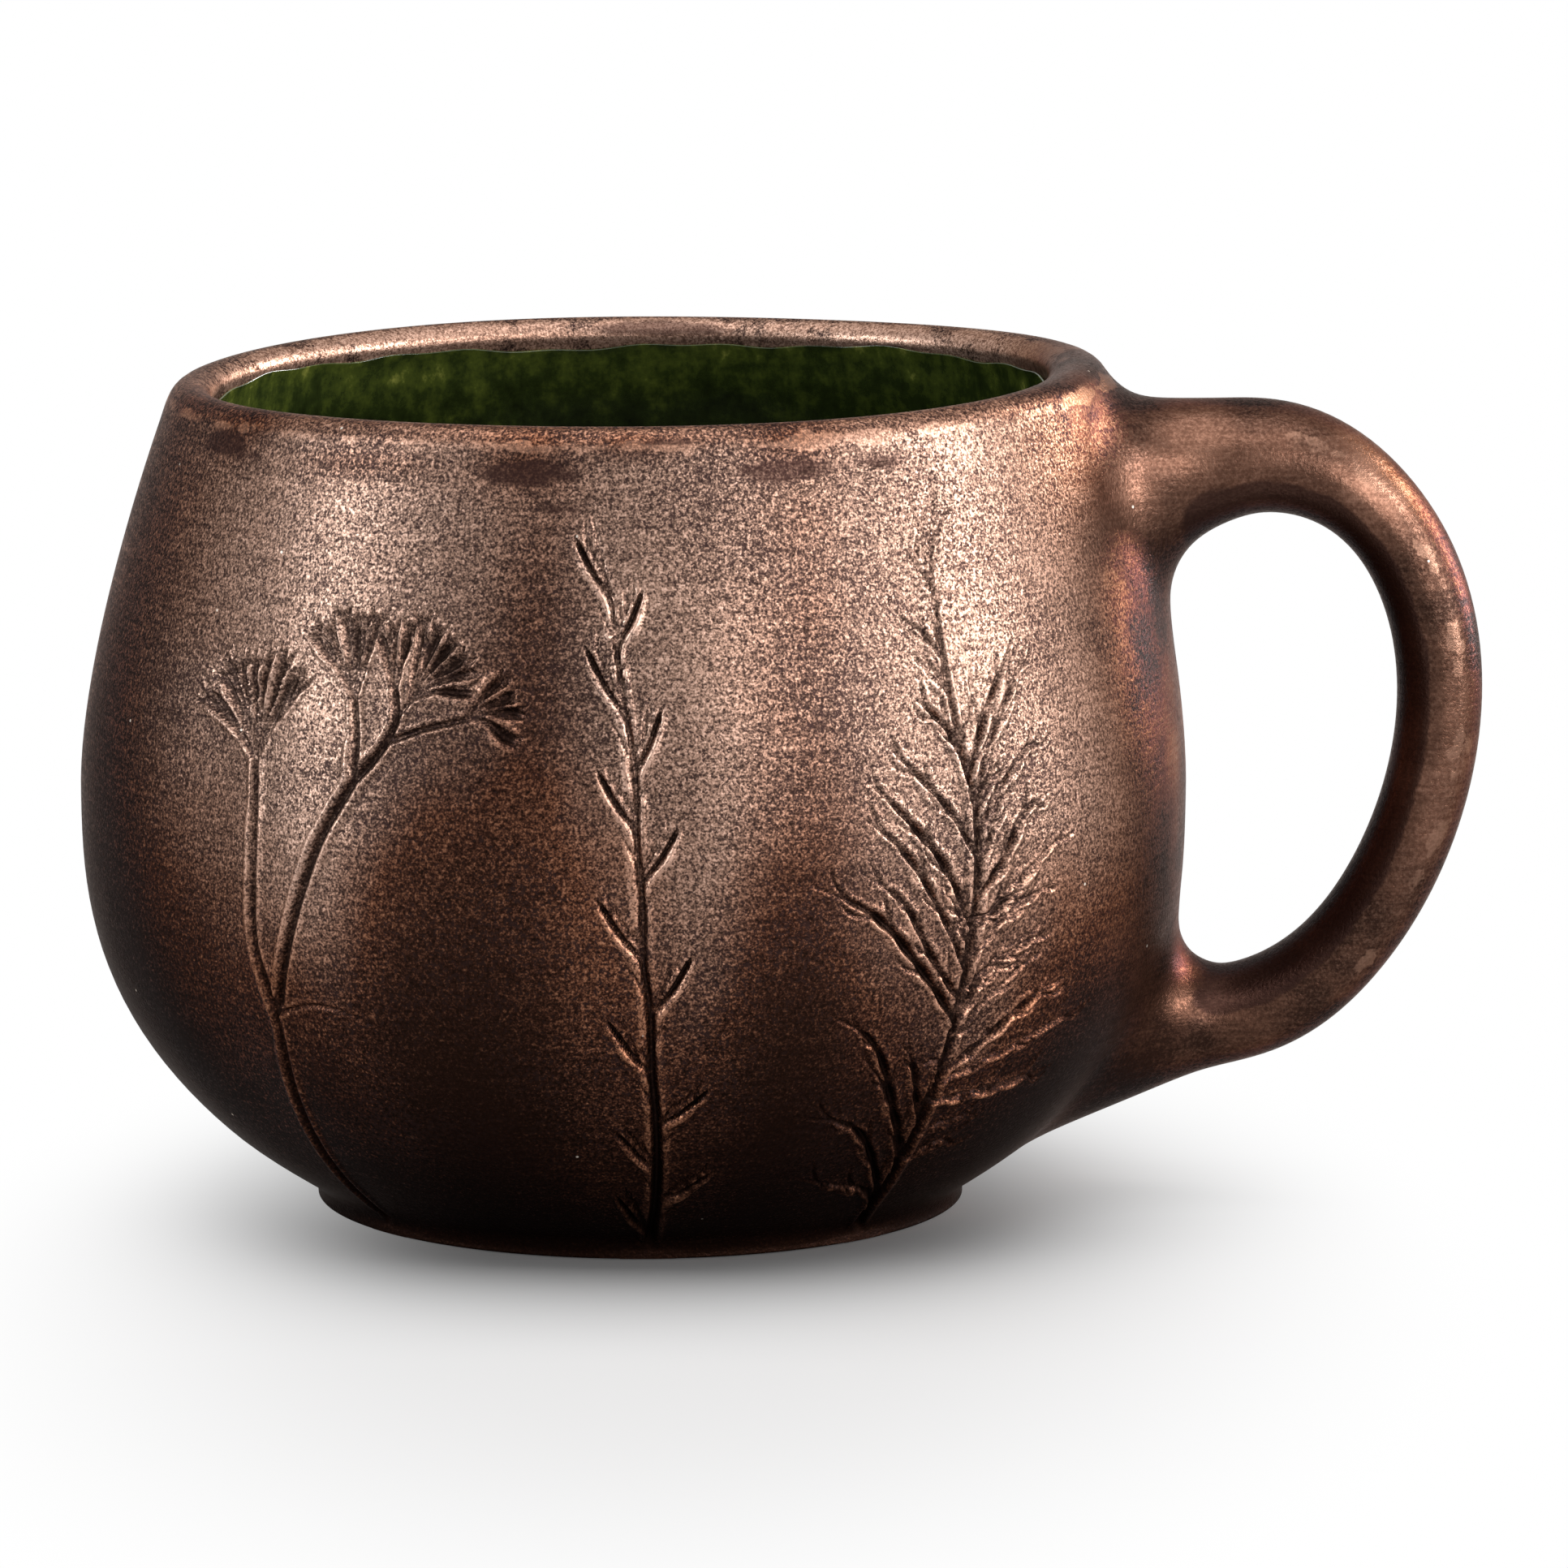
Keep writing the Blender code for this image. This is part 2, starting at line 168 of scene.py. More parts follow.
def turned(profile, steps, closed=True):
    # spins a profile of (radius, height) points about Z; an open one starts and ends on the axis
    bm = bmesh.new()
    corners = [bm.verts.new((radius, 0.0, height)) for radius, height in profile]
    edges = [bm.edges.new(pair) for pair in zip(corners, corners[1:])]
    if closed:
        edges.append(bm.edges.new((corners[-1], corners[0])))
    bmesh.ops.spin(
        bm, geom=corners + edges, cent=(0, 0, 0), axis=(0, 0, 1),
        angle=2.0 * math.pi, steps=steps, use_merge=True
    )
    bmesh.ops.remove_doubles(bm, verts=bm.verts, dist=weld)
    bmesh.ops.recalc_face_normals(bm, faces=bm.faces)
    return bm


def addPiece(name, bm, material, replaced):
    mesh = bpy.data.meshes.new(name)
    bm.to_mesh(mesh)
    bm.free()
    mesh.materials.append(material)
    mesh.shade_smooth()
    piece = bpy.data.objects.new(name, mesh)
    bpy.context.scene.collection.objects.link(piece)
    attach(piece, "root")
    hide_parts(*replaced)
    print(name, sum(len(face.vertices) - 2 for face in mesh.polygons), "triangles")
    return piece


def store(piece, name, values):
    # a number for each point of the piece, for its material
    layer = piece.data.attributes.new(name, "FLOAT", "POINT")
    layer.data.foreach_set("value", np.asarray(values, dtype=np.float32))


def colour(hexValue):
    # sRGB hex to linear
    parts = [int(hexValue[i:i + 2], 16) / 255.0 for i in (1, 3, 5)]
    return [c / 12.92 if c <= 0.04045 else ((c + 0.055) / 1.055) ** 2.4 for c in parts] + [1.0]


def newMaterial(name):
    material = bpy.data.materials.new(name)
    material.use_nodes = True
    material.node_tree.nodes.clear()
    return material


def addNode(owner, kind, inputs=None, span=(), stops=(), **settings):
    # adds a node to a material or world, with its settings, its inputs as values, hex colours, sockets or other
    # nodes, the four ends of its range, and a ramp's stops as places and hex colours
    tree = owner.node_tree
    node = tree.nodes.new("ShaderNode" + kind)
    for name, value in settings.items():
        setattr(node, name, value)
    ends = dict(zip(("From Min", "From Max", "To Min", "To Max"), span))
    for name, value in {**(inputs or {}), **ends}.items():
        if isinstance(value, bpy.types.Node):
            value = next(output for output in value.outputs if output.enabled)
        if isinstance(value, bpy.types.NodeSocket):
            tree.links.new(value, node.inputs[name])
        else:
            node.inputs[name].default_value = colour(value) if isinstance(value, str) else value
    for i, (place, value) in enumerate(stops):
        ramp = node.color_ramp.elements
        stop = ramp[i] if i < 2 else ramp.new(place)
        stop.position = place
        stop.color = colour(value)
    return node


# Wall: the outer face runs down over the joint to the foot, as the potter smooths it
wall = {
    "steps": 192,
    "rowHeight": 1.7 * mm,
    "innerRow": 4.0 * mm,
    "lipOuter": 4.0 * mm,       # how far below the crest the lip starts to roll over, outside and inside
    "lipInner": 2.2 * mm,
    "crestInset": 3.0 * mm,     # from the outer face where the roll starts to the crest
    "lipRings": 10,
    "footBlend": 1.4 * mm,
    "footEdge": 0.7 * mm,
    "footRings": 6,
    "underside": 30.0 * mm,     # the coated skin ends here, and the bare clay of the base starts
}


def skinRadius(z):
    # the bowl, with the foot's upright side blended into it
    bowl, side = outerRadius(z), form["footRadius"] + 0.1 * mm
    gap = np.maximum(wall["footBlend"] - np.abs(bowl - side), 0.0)
    return np.maximum(bowl, side) + gap * gap / (4.0 * wall["footBlend"])


def arch(start, leaving, end, arriving, count):
    # a smooth curve from start to end, with the directions in which it leaves and arrives
    start, leaving, end, arriving = (np.array(item, dtype=float) for item in (start, leaving, end, arriving))
    pull = 0.4 * np.linalg.norm(end - start)
    a, b = start + leaving * pull, end - arriving * pull
    share = np.linspace(0.0, 1.0, count + 1)[:, None]
    left = 1.0 - share
    return left ** 3 * start + 3 * left * left * share * a + 3 * left * share * share * b + share ** 3 * end


def lipCurve(count):
    # over the lip from the outer face to the inner face, with its crest nearer to the inside
    outerLevel = form["height"] - wall["lipOuter"]
    innerLevel = levelFor(form["height"] - wall["lipInner"], -form["thickness"])
    crest = (outerRadius(outerLevel) - wall["crestInset"], form["height"])
    radial, vertical = outward(outerLevel)
    first = arch((outerRadius(outerLevel), outerLevel), (-vertical, radial), crest, (-1.0, 0.0), count)
    radial, vertical = outward(innerLevel)
    last = arch(crest, (-1.0, 0.0), besideWall(innerLevel, -form["thickness"]), (vertical, -radial), count)
    return np.concatenate([first, last[1:]]), innerLevel


def wallProfile():
    top = form["height"] - wall["lipOuter"]
    edge = wall["footEdge"]
    corner = float(skinRadius(edge)) - edge
    profile = [(wall["underside"], 0.0)]
    for turn in np.linspace(0.0, math.pi / 2.0, wall["footRings"]):
        profile.append((corner + edge * math.sin(turn), edge * (1.0 - math.cos(turn))))
    profile += [(float(skinRadius(z)), z) for z in evenLevels(edge, top, wall["rowHeight"])[1:-1]]
    lip, innerLevel = lipCurve(wall["lipRings"])
    profile += [tuple(point) for point in lip]
    innerLow = levelFor(form["floor"], -form["thickness"])
    levels = evenLevels(innerLow, innerLevel, wall["innerRow"])
    profile += [besideWall(z, -form["thickness"]) for z in levels[-2::-1]]
    return profile + [(wall["underside"], form["floor"])]


# Wild plants pressed into the soft clay. Places are millimetres round the wall from the front, measured at the
# belly, and millimetres up from the table. A line's sizes are its half width and depth where it starts and at its
# tip, and a negative depth is a finger of clay pushed up beside a groove
plants = {
    "seed": 11,
    "pathStep": 0.7,
    "footFade": (0.8, 2.4),     # from this height down the strokes fade out, and over this height
    "shoulder": 0.30,           # height of the clay pushed up beside a stroke, as a share of its depth
    "shoulderAt": 1.5,          # in half widths from its middle
    "shoulderWidth": 0.55,
    "felt": 2.6,                # a stroke moves the clay within so many of its half widths
    "feltRound": (1.7, 1.0),    # and further round, where the wall is narrower
    "edge": 1.6,
    "ridgeGone": 0.15,          # no clay stays pushed up where another stroke is this deep
    "refined": (2.4, 1.1, 0.35),        # the mesh is halved within these distances from a stroke
    "stemFinger": (0.50, -0.26),
}

# soft herb with flower heads: its stems, and where each head branches, its first and last direction in degrees, its
# reach and its florets
herb = {
    "stems": [
        ([(-42, 0.4), (-39, 5), (-36.5, 12.5), (-34.5, 21.5), (-34.3, 26.5)], (0.62, 0.75), (0.55, 0.60)),
        ([(-34.3, 26), (-35.2, 29), (-36.4, 32.5), (-36.5, 38), (-36.4, 45), (-36.8, 50)],
         (0.60, 0.70), (0.52, 0.60)),
        ([(-33.6, 26.5), (-32, 32), (-30, 38), (-27.5, 44), (-24.3, 49.3)], (0.60, 0.70), (0.62, 0.70)),
        ([(-24.3, 49.3), (-24.2, 53), (-24.8, 57)], (0.50, 0.60), (0.46, 0.55)),
        ([(-24.3, 49.3), (-21.3, 52.7), (-20, 55.5), (-20.3, 58)], (0.56, 0.70), (0.46, 0.55)),
        ([(-21, 53.2), (-19.3, 56.5), (-17, 59)], (0.34, 0.35), (0.30, 0.30)),
        ([(-20.2, 53.6), (-17, 54.8), (-14, 55.6), (-12.3, 56)], (0.38, 0.55), (0.34, 0.40)),
        ([(-33.6, 26), (-29, 27.3), (-24.5, 26.8), (-20, 25)], (0.30, 0.30), (0.22, 0.15)),
    ],
    "mainStems": 4,
    "heads": [
        ((-36.8, 50), 152, 57, 11.5, 10), ((-24.8, 57), 134, 74, 8.8, 6), ((-20.3, 58), 118, 84, 6.6, 3),
        ((-18.5, 57.5), 86, 10, 7.8, 6), ((-12.6, 56), 44, -20, 6.2, 4),
    ],
    "ray": ((0.32, 0.36), (0.38, 0.45)),
    "share": 0.60,              # of a floret in its ray
    "body": (0.64, 0.60),
    "bodyTaper": ((0.5, 0.8), (0.8, 0.8)),
    "slit": (0.28, 0.95),       # beside the body, and how far from it at its foot, middle and tip
    "slitTaper": (0.6, 0.4),
    "slitAside": (0.10, 0.55, 0.45),
    "between": (0.42, -0.34),   # the clay between two florets, and its places along the ray
    "betweenPlaces": (0.42, 0.65, 0.92),
    "petal": ((0.30, 0.30), (0.24, 0.45)),
    "petalTurns": (-0.34, 0.30),
    "petalReach": 0.66,
    "scatter": 3.0,             # degrees
    "upright": 0.14,            # how much a floret's foot turns upwards
    "reach": (0.88, 1.06),
    "sway": 0.25,
    "bodySizes": (0.8, 1.15),
    "slitSizes": (0.5, 1.1),
}

# upright grass: its stem, then each leaf as the height of its foot and how far its tip is out and up from there
grass = {
    "stem": [(6.3, 0.2), (6.9, 7.5), (6.6, 16), (6, 22), (5.8, 28), (5.1, 33), (5, 39), (4.4, 45), (4.3, 51),
             (3.1, 58), (2.3, 63), (1.7, 67), (0.4, 72), (-0.4, 75)],
    "lowerStem": ((0.62, 0.80), (0.34, 0.45)),
    "upperStem": ((0.30, 0.35), (0.16, 0.20)),
    "left": [(67, 4.0, 6.0), (56, 4.4, 7.0), (45.5, 4.0, 6.2), (33, 4.6, 6.3), (21.5, 4.6, 6.0), (11, 4.8, 4.8),
             (2.5, 4.6, 5.6)],
    "right": [(62.5, 2.6, 5.6), (51, 2.6, 6.4), (40.5, 3.6, 5.8), (27.5, 4.0, 6.6), (16, 5.4, 4.6), (7, 6.6, 4.2)],
    "leaf": ((0.20, 0.30), (0.36, 0.95)),
    "sheath": 3.0,              # a leaf's groove starts this far down along the stem
    "finger": (0.52, -0.42),
    "fingerSizes": (0.8, 1.1),
    "fingerAside": (0.45, 0.60, 0.66, 0.66),
    "vein": ((0.20, 0.30), (0.20, 0.42)),   # finer lines between the leaf and the stem
    "veinPlaces": (0.16, 0.34, 0.52, 0.70, 0.88),
    "veinLength": (2.2, 3.8),
    "foot": ((0.18, 0.24), (0.18, 0.32)),
}

# feathery herb: its stem, then each branch as the height where it leaves, its tip and its weight
feather = {
    "stem": [(45, 0.6), (41, 4), (39, 9), (38.3, 14), (38.1, 20), (38.4, 27), (39.2, 34), (39.7, 40), (39.7, 46),
             (38.5, 51), (37.5, 57), (37, 63), (36.8, 68), (38, 73), (39.2, 76.5), (37.8, 79.3)],
    "lowerStem": ((0.60, 0.85), (0.48, 0.70)),
    "upperStem": ((0.48, 0.70), (0.14, 0.20)),
    "left": [
        (34.5, 26.5, 50.2, 1.0), (41, 28.2, 54.2, 0.8), (48.5, 32.4, 57.5, 1.0), (56, 34.2, 61, 0.6),
        (25.5, 20.8, 40.5, 1.1), (27.5, 26.2, 41.2, 0.9), (30.5, 25.2, 47.3, 0.9), (31, 35.4, 39.2, 0.8),
        (60, 31.8, 64.2, 0.6), (64, 35, 71, 0.6), (67, 34.6, 76, 0.4), (10.5, 22.4, 28.2, 1.0),
        (14.5, 31.6, 24.3, 0.9), (9, 26.4, 24, 0.7), (5.5, 21.2, 17.2, 1.0), (4.8, 24, 9.8, 0.9),
        (20, 36.2, 22.5, 0.6),
    ],
    "right": [
        (35.5, 45.6, 38, 1.0), (37.5, 48.8, 46.6, 1.0), (40.5, 43.5, 48, 0.7), (45.5, 43, 50, 0.9),
        (49, 46.8, 61.8, 0.9), (47, 49, 61.5, 0.7), (44, 49.6, 52.4, 0.7), (25.5, 44.2, 31, 0.9),
        (20, 53.4, 28.8, 1.1), (17, 54.6, 19, 1.1), (19, 57.6, 25.4, 0.8), (31, 50.5, 38.5, 0.6),
        (34, 52, 43.5, 0.6), (10, 46, 12, 0.7), (68, 40.2, 74.5, 0.4), (53, 43, 58.5, 0.4), (28, 50, 34, 0.7),
        (23, 49, 33, 0.5), (13, 47, 15.5, 0.6),
    ],
    "branch": (0.38, 0.66),
    "shoulders": {-1: (1.6, 0.7), 1: (0.7, 1.4)},
    "finger": (0.50, -0.24),
    "fingerSizes": (0.6, 1.1),
    "fingerAside": (0.70, 0.85, 0.65),
    "bends": (((0.28, 0.40), 0.7), ((0.62, 0.76), 0.8)),    # shares of the way to its tip, and mm of scatter
    "twigs": 5,
    "twig": ((0.23, 0.36), (0.20, 0.38)),
    "twigLength": (2.4, 5.0),
    "twigTurn": (0.28, 0.62),
    "twigCurl": 0.45,           # how far a twig's tip turns upwards
}

# fine lines that the potter's rib left under the lip
hatch = {"from": (22.5, 75.4), "rows": 9, "rise": 0.42, "columns": 2, "step": 7.0, "tilt": 9.0,
         "length": (3.5, 6.5), "size": (0.17, 0.15), "sizes": (0.6, 1.2)}


def heading(angle):
    return np.array([math.cos(angle), math.sin(angle)])


def leftOf(direction):
    return np.array([-direction[1], direction[0]])


def leftAlong(path):
    # the unit normals to the left along a path
    ahead = np.gradient(path, axis=0)
    return np.stack([-ahead[:, 1], ahead[:, 0]], axis=1) / np.hypot(ahead[:, 0], ahead[:, 1])[:, None]


def smoothPath(points):
    # an even path through the points, rounded at each of them
    points = np.array(points, dtype=float)
    padded = np.concatenate([points[:1] * 2 - points[1:2], points, points[-1:] * 2 - points[-2:-1]])
    path = []
    for a, b, c, d in zip(padded, padded[1:], padded[2:], padded[3:]):
        count = max(2, round(np.linalg.norm(c - b) / plants["pathStep"]))
        t = (np.arange(count) / count)[:, None]
        square, cube = 2 * a - 5 * b + 4 * c - d, 3 * b - a - 3 * c + d
        path.append(b + t * (c - a) / 2 + t * t * square / 2 + t ** 3 * cube / 2)
    return np.concatenate(path + [points[-1:]])


def makeStroke(points, foot, tip, swell=0.0, lift=(1.0, 1.0), point=0.0, lobes=0.0):
    # swell widens the middle, lift is how strong the shoulders left and right are, point is the share of the length
    # that tapers to the tip, and lobes is how strongly small leaves widen it
    path = smoothPath(points)
    share = np.linspace(0.0, 1.0, len(path))
    size = np.array(foot) + (np.array(tip) - np.array(foot)) * share[:, None]
    size *= 1.0 + swell * np.sin(math.pi * share)[:, None]
    if point:
        size *= (0.25 + 0.75 * ease((1.0 - share) / point))[:, None]
    if lobes:
        size *= (1.0 + lobes * np.sin(len(path) * 1.1 * share + 5.0 * path[0, 0]))[:, None]
    return {"path": path, "width": size[:, 0], "depth": size[:, 1], "lift": lift}


def stemPoint(stem, height):
    path = smoothPath(stem)
    return np.array([float(np.interp(height, path[:, 1], path[:, 0])), height])


def besideStem(points, apart):
    # the clay pushed up along one side of a stem
    path = smoothPath(points)[::6]
    return makeStroke(path + leftAlong(path) * apart, plants["stemFinger"], plants["stemFinger"], point=0.2)


def herbStrokes(chance):
    strokes = [makeStroke(*stem) for stem in herb["stems"]]
    for points, foot, tip in herb["stems"][:herb["mainStems"]]:
        strokes.append(besideStem(points, 1.15 * foot[0] + 0.35))
    for node, first, last, reach, count in herb["heads"]:
        node = np.array(node, dtype=float)
        for i in range(count):
            scatter = chance.uniform(-herb["scatter"], herb["scatter"])
            angle = math.radians(first + (last - first) * i / (count - 1) + scatter)
            upright = angle + (math.pi / 2.0 - angle) * herb["upright"]
            length = reach * chance.uniform(*herb["reach"])
            tip = node + length * heading(angle)
            base = node + length * (1.0 - herb["share"]) * heading(upright)
            strokes.append(makeStroke([node, (node + base) / 2 + (0, 0.15), base], *herb["ray"]))
            aside = leftOf(heading(angle)) * (1.0 if i % 2 else -1.0)
            bend = (base + tip) / 2 + aside * chance.uniform(-herb["sway"], herb["sway"])
            size = np.array(herb["body"]) * chance.uniform(*herb["bodySizes"])
            thin, thick = (size * taper for taper in herb["bodyTaper"])
            strokes.append(makeStroke([base, bend, tip], thin, thick, swell=0.5, point=0.25))
            size = np.array(herb["slit"]) * chance.uniform(*herb["slitSizes"])
            beside = [point + aside * far for point, far in zip((base, bend, tip), herb["slitAside"])]
            strokes.append(makeStroke(beside, size * herb["slitTaper"], size, point=0.25, lobes=0.25))
            if i:
                ray = heading(angle - math.radians(last - first) / (count - 1) / 2.0)
                ridge = [node + ray * length * place for place in herb["betweenPlaces"]]
                strokes.append(makeStroke(ridge, np.array(herb["between"]) * 0.7, herb["between"], point=0.3))
            # the floret's petals leave ragged lines at its tip
            for turn in herb["petalTurns"]:
                end = bend + herb["petalReach"] * length * herb["share"] * heading(angle + turn)
                strokes.append(makeStroke([bend, end], *herb["petal"], point=0.4))
    return strokes


def grassStrokes(chance):
    stem = grass["stem"]
    strokes = [makeStroke(stem[:-3], *grass["lowerStem"]), makeStroke(stem[-4:], *grass["upperStem"])]
    strokes.append(besideStem(stem[:-2], 0.95))
    for side, leaves in ((-1, grass["left"]), (1, grass["right"])):
        for height, across, up in leaves:
            foot = stemPoint(stem, height)
            tip = foot + (side * across, up)
            along = (tip - foot) / np.hypot(*(tip - foot))
            aside = leftOf(along) * -side       # away from the stem
            middle = (foot + tip) / 2 + aside * 0.12
            below = stemPoint(stem, height - grass["sheath"]) + (0.25 * side, 0.0)
            strokes.append(makeStroke([below, foot, middle, tip], *grass["leaf"], point=0.12))
            finger = zip((below, foot, middle, tip - along * 0.8), grass["fingerAside"])
            finger = [point + aside * far for point, far in finger]
            size = np.array(grass["finger"]) * chance.uniform(*grass["fingerSizes"])
            strokes.append(makeStroke(finger, size * 0.7, size, point=0.35, lobes=0.15))
            for place in grass["veinPlaces"]:
                start = foot + (tip - foot) * (place - 0.14) - aside * chance.uniform(0.35, 0.6)
                ahead = along + (-side * (0.15 + 0.35 * place), 0.1)
                end = start + ahead * chance.uniform(*grass["veinLength"])
                bend = (start + end) / 2 + aside * chance.uniform(0.0, 0.25)
                strokes.append(makeStroke([start, bend, end], *grass["vein"], point=0.4))
            beside = [foot - (0, 3.0), foot + aside * 0.9 - (0, 0.8), foot + aside * 1.6 + along * 2.2]
            strokes.append(makeStroke(beside, *grass["foot"], point=0.5))
    return strokes


def featherStrokes(chance):
    stem = feather["stem"]
    strokes = [makeStroke(stem[:9], *feather["lowerStem"]), makeStroke(stem[8:], *feather["upperStem"])]
    strokes.append(besideStem(stem[:11], -1.0))
    for side, branches in ((-1, feather["left"]), (1, feather["right"])):
        for height, across, up, weight in branches:
            foot, tip = stemPoint(stem, height), np.array([across, up], dtype=float)
            reach = tip - foot
            near, far = (foot + reach * part + chance.uniform(-sway, sway, 2) for part, sway in feather["bends"])
            size, lift = np.array(feather["branch"]) * weight, feather["shoulders"][side]
            points = [foot, near, far, tip]
            strokes.append(makeStroke(points, size, size * 0.8, swell=0.25, lift=lift, point=0.4, lobes=0.2))
            aside = leftOf(reach / np.hypot(*reach)) * -side
            finger = zip((near, (near + far) / 2, far), feather["fingerAside"])
            finger = [point + aside * away for point, away in finger]
            size = np.array(feather["finger"]) * chance.uniform(*feather["fingerSizes"])
            strokes.append(makeStroke(finger, size * 0.6, size, swell=0.3, point=0.6, lobes=0.15))
            path, last = smoothPath(points), len(smoothPath(points)) - 1
            for i in range(feather["twigs"]):
                place = int((0.12 + 0.78 * (i + chance.uniform(0, 0.6)) / feather["twigs"]) * last)
                start = path[place]
                ahead = path[min(place + 2, last)] - start
                turn = (1 if i % 2 else -1) * chance.uniform(*feather["twigTurn"])
                angle = math.atan2(ahead[1], ahead[0] + 1e-6) + turn
                length = chance.uniform(*feather["twigLength"]) * (0.6 + 0.5 * weight)
                middle = start + 0.5 * length * heading(angle)
                end = middle + 0.5 * length * heading(angle + feather["twigCurl"] * (math.pi / 2.0 - angle))
                twig = np.array(feather["twig"]) * (1.0, weight)
                strokes.append(makeStroke([start, middle, end], *twig, point=0.4, lobes=0.2))
    return strokes


def hatchStrokes(chance):
    strokes = []
    for row in range(hatch["rows"]):
        for column in range(hatch["columns"]):
            across = hatch["step"] * column + chance.uniform(-1.5, 1.5)
            start = np.array(hatch["from"]) + (across, row * hatch["rise"] + column)
            end = start + heading(math.radians(hatch["tilt"])) * chance.uniform(*hatch["length"])
            size = np.array(hatch["size"]) * chance.uniform(*hatch["sizes"])
            strokes.append(makeStroke([start, (start + end) / 2 + (0, 0.12), end], size, size, point=0.4))
    return strokes


def allStrokes():
    chance = np.random.default_rng(plants["seed"])
    return herbStrokes(chance) + grassStrokes(chance) + featherStrokes(chance) + hatchStrokes(chance)


def measured(places, strokes, margin):
    # for places on the wall in mm: depth of the strokes, height of their shoulders, and distance outside them
    depth, ridge, outside = np.zeros(len(places)), np.zeros(len(places)), np.full(len(places), 99.0)
    heights = places[:, 1] * mm
    # places are measured at the belly, and these shares turn them into real mm
    flat = np.stack([outerRadius(heights) / form["bellyRadius"], 1.0 / outward(heights)[0]], axis=1)
    for stroke in strokes:
        path, width = stroke["path"], stroke["width"]
        reach = (width.max() * plants["felt"] + margin) * np.array(plants["feltRound"])
        inside = (places > path.min(axis=0) - reach) & (places < path.max(axis=0) + reach)
        near = np.nonzero(inside.all(axis=1))[0]
        if not len(near):
            continue
        start, along = path[:-1], path[1:] - path[:-1]
        scale = flat[near][:, None]
        offset, run = (places[near][:, None] - start) * scale, along * scale
        share = np.clip((offset * run).sum(axis=2) / np.maximum((run * run).sum(axis=2), 1e-9), 0.0, 1.0)
        apart = offset - run * share[:, :, None]
        distance = np.hypot(apart[:, :, 0], apart[:, :, 1])
        best = distance.argmin(axis=1)
        rows = np.arange(len(near))
        distance, share = distance[rows, best], share[rows, best]
        side = run[rows, best, 0] * apart[rows, best, 1] - run[rows, best, 1] * apart[rows, best, 0]
        halfWidth, deep = (
            values[best] + (values[best + 1] - values[best]) * share for values in (width, stroke["depth"])
        )
        ratio = distance / halfWidth
        deep = deep * risen(places[near, 1], *plants["footFade"])
        cut = deep * np.clip(1.0 - ratio * ratio, 0.0, 1.0) ** 1.5
        lift = np.where(side > 0.0, stroke["lift"][0], stroke["lift"][1]) * plants["shoulder"] * deep
        pushed = lift * np.exp(-(((ratio - plants["shoulderAt"]) / plants["shoulderWidth"]) ** 2))
        depth[near] = np.maximum(depth[near], cut)
        ridge[near] = np.maximum(ridge[near], np.maximum(pushed, -cut))
        outside[near] = np.minimum(outside[near], distance - plants["edge"] * halfWidth)
    ridge *= 1.0 - ease(depth / plants["ridgeGone"])
    return depth, ridge, outside


def facePlaces(points):
    # places on the wall in mm, and which points lie on its outer face
    x, y, z = points.T
    onFace = (np.hypot(x, y) > skinRadius(z) - 0.4 * mm) & (z > 0.1 * mm) & (z < form["height"] - wall["lipOuter"])
    return np.stack([np.arctan2(x, -y) * form["bellyRadius"], z], axis=1) / mm, onFace


def refineNear(bm, strokes, distance):
    # halves the faces near the strokes, and puts the new points on the round wall
    places, onFace = facePlaces(pointsOf(bm))
    near = onFace & (measured(places, strokes, distance)[2] < distance)
    bm.verts.ensure_lookup_table()
    for vertex in bm.verts:
        vertex.tag = bool(near[vertex.index])
    edges = {edge for vertex in bm.verts if vertex.tag for face in vertex.link_faces for edge in face.edges}
    bmesh.ops.subdivide_edges(bm, edges=list(edges), cuts=1, use_grid_fill=True)
    bm.verts.index_update()
    points = pointsOf(bm)
    onFace = facePlaces(points)[1] | facePlaces(points * (1.001, 1.001, 1.0))[1]
    radius = np.hypot(points[:, 0], points[:, 1])
    grow = np.where(onFace, skinRadius(points[:, 2]) / np.maximum(radius, mm), 1.0)
    placePoints(bm, points * np.stack([grow, grow, np.ones(len(grow))], axis=1))


def buildWall(material):
    bm = turned(wallProfile(), wall["steps"])
    strokes = allStrokes()
    for distance in plants["refined"]:
        refineNear(bm, strokes, distance)
    points = pointsOf(bm)
    places, onFace = facePlaces(points)
    depth, ridge, _ = measured(places, strokes, 0.5)
    move = np.where(onFace, ridge - depth, 0.0) * mm
    radial, vertical = outward(points[:, 2])
    radius = np.hypot(points[:, 0], points[:, 1])
    sideways = points[:, :2] * (radial * move / radius)[:, None]
    placePoints(bm, handShaped(points + np.column_stack([sideways, vertical * move])))
    piece = addPiece("wall_skin", bm, material, ["wall"])
    store(piece, "pressed", np.where(onFace, depth, 0.0))
    store(piece, "raised", np.where(onFace, ridge, 0.0))
    storeFaceValues(piece, points)
    print(len(strokes), "strokes pressed")


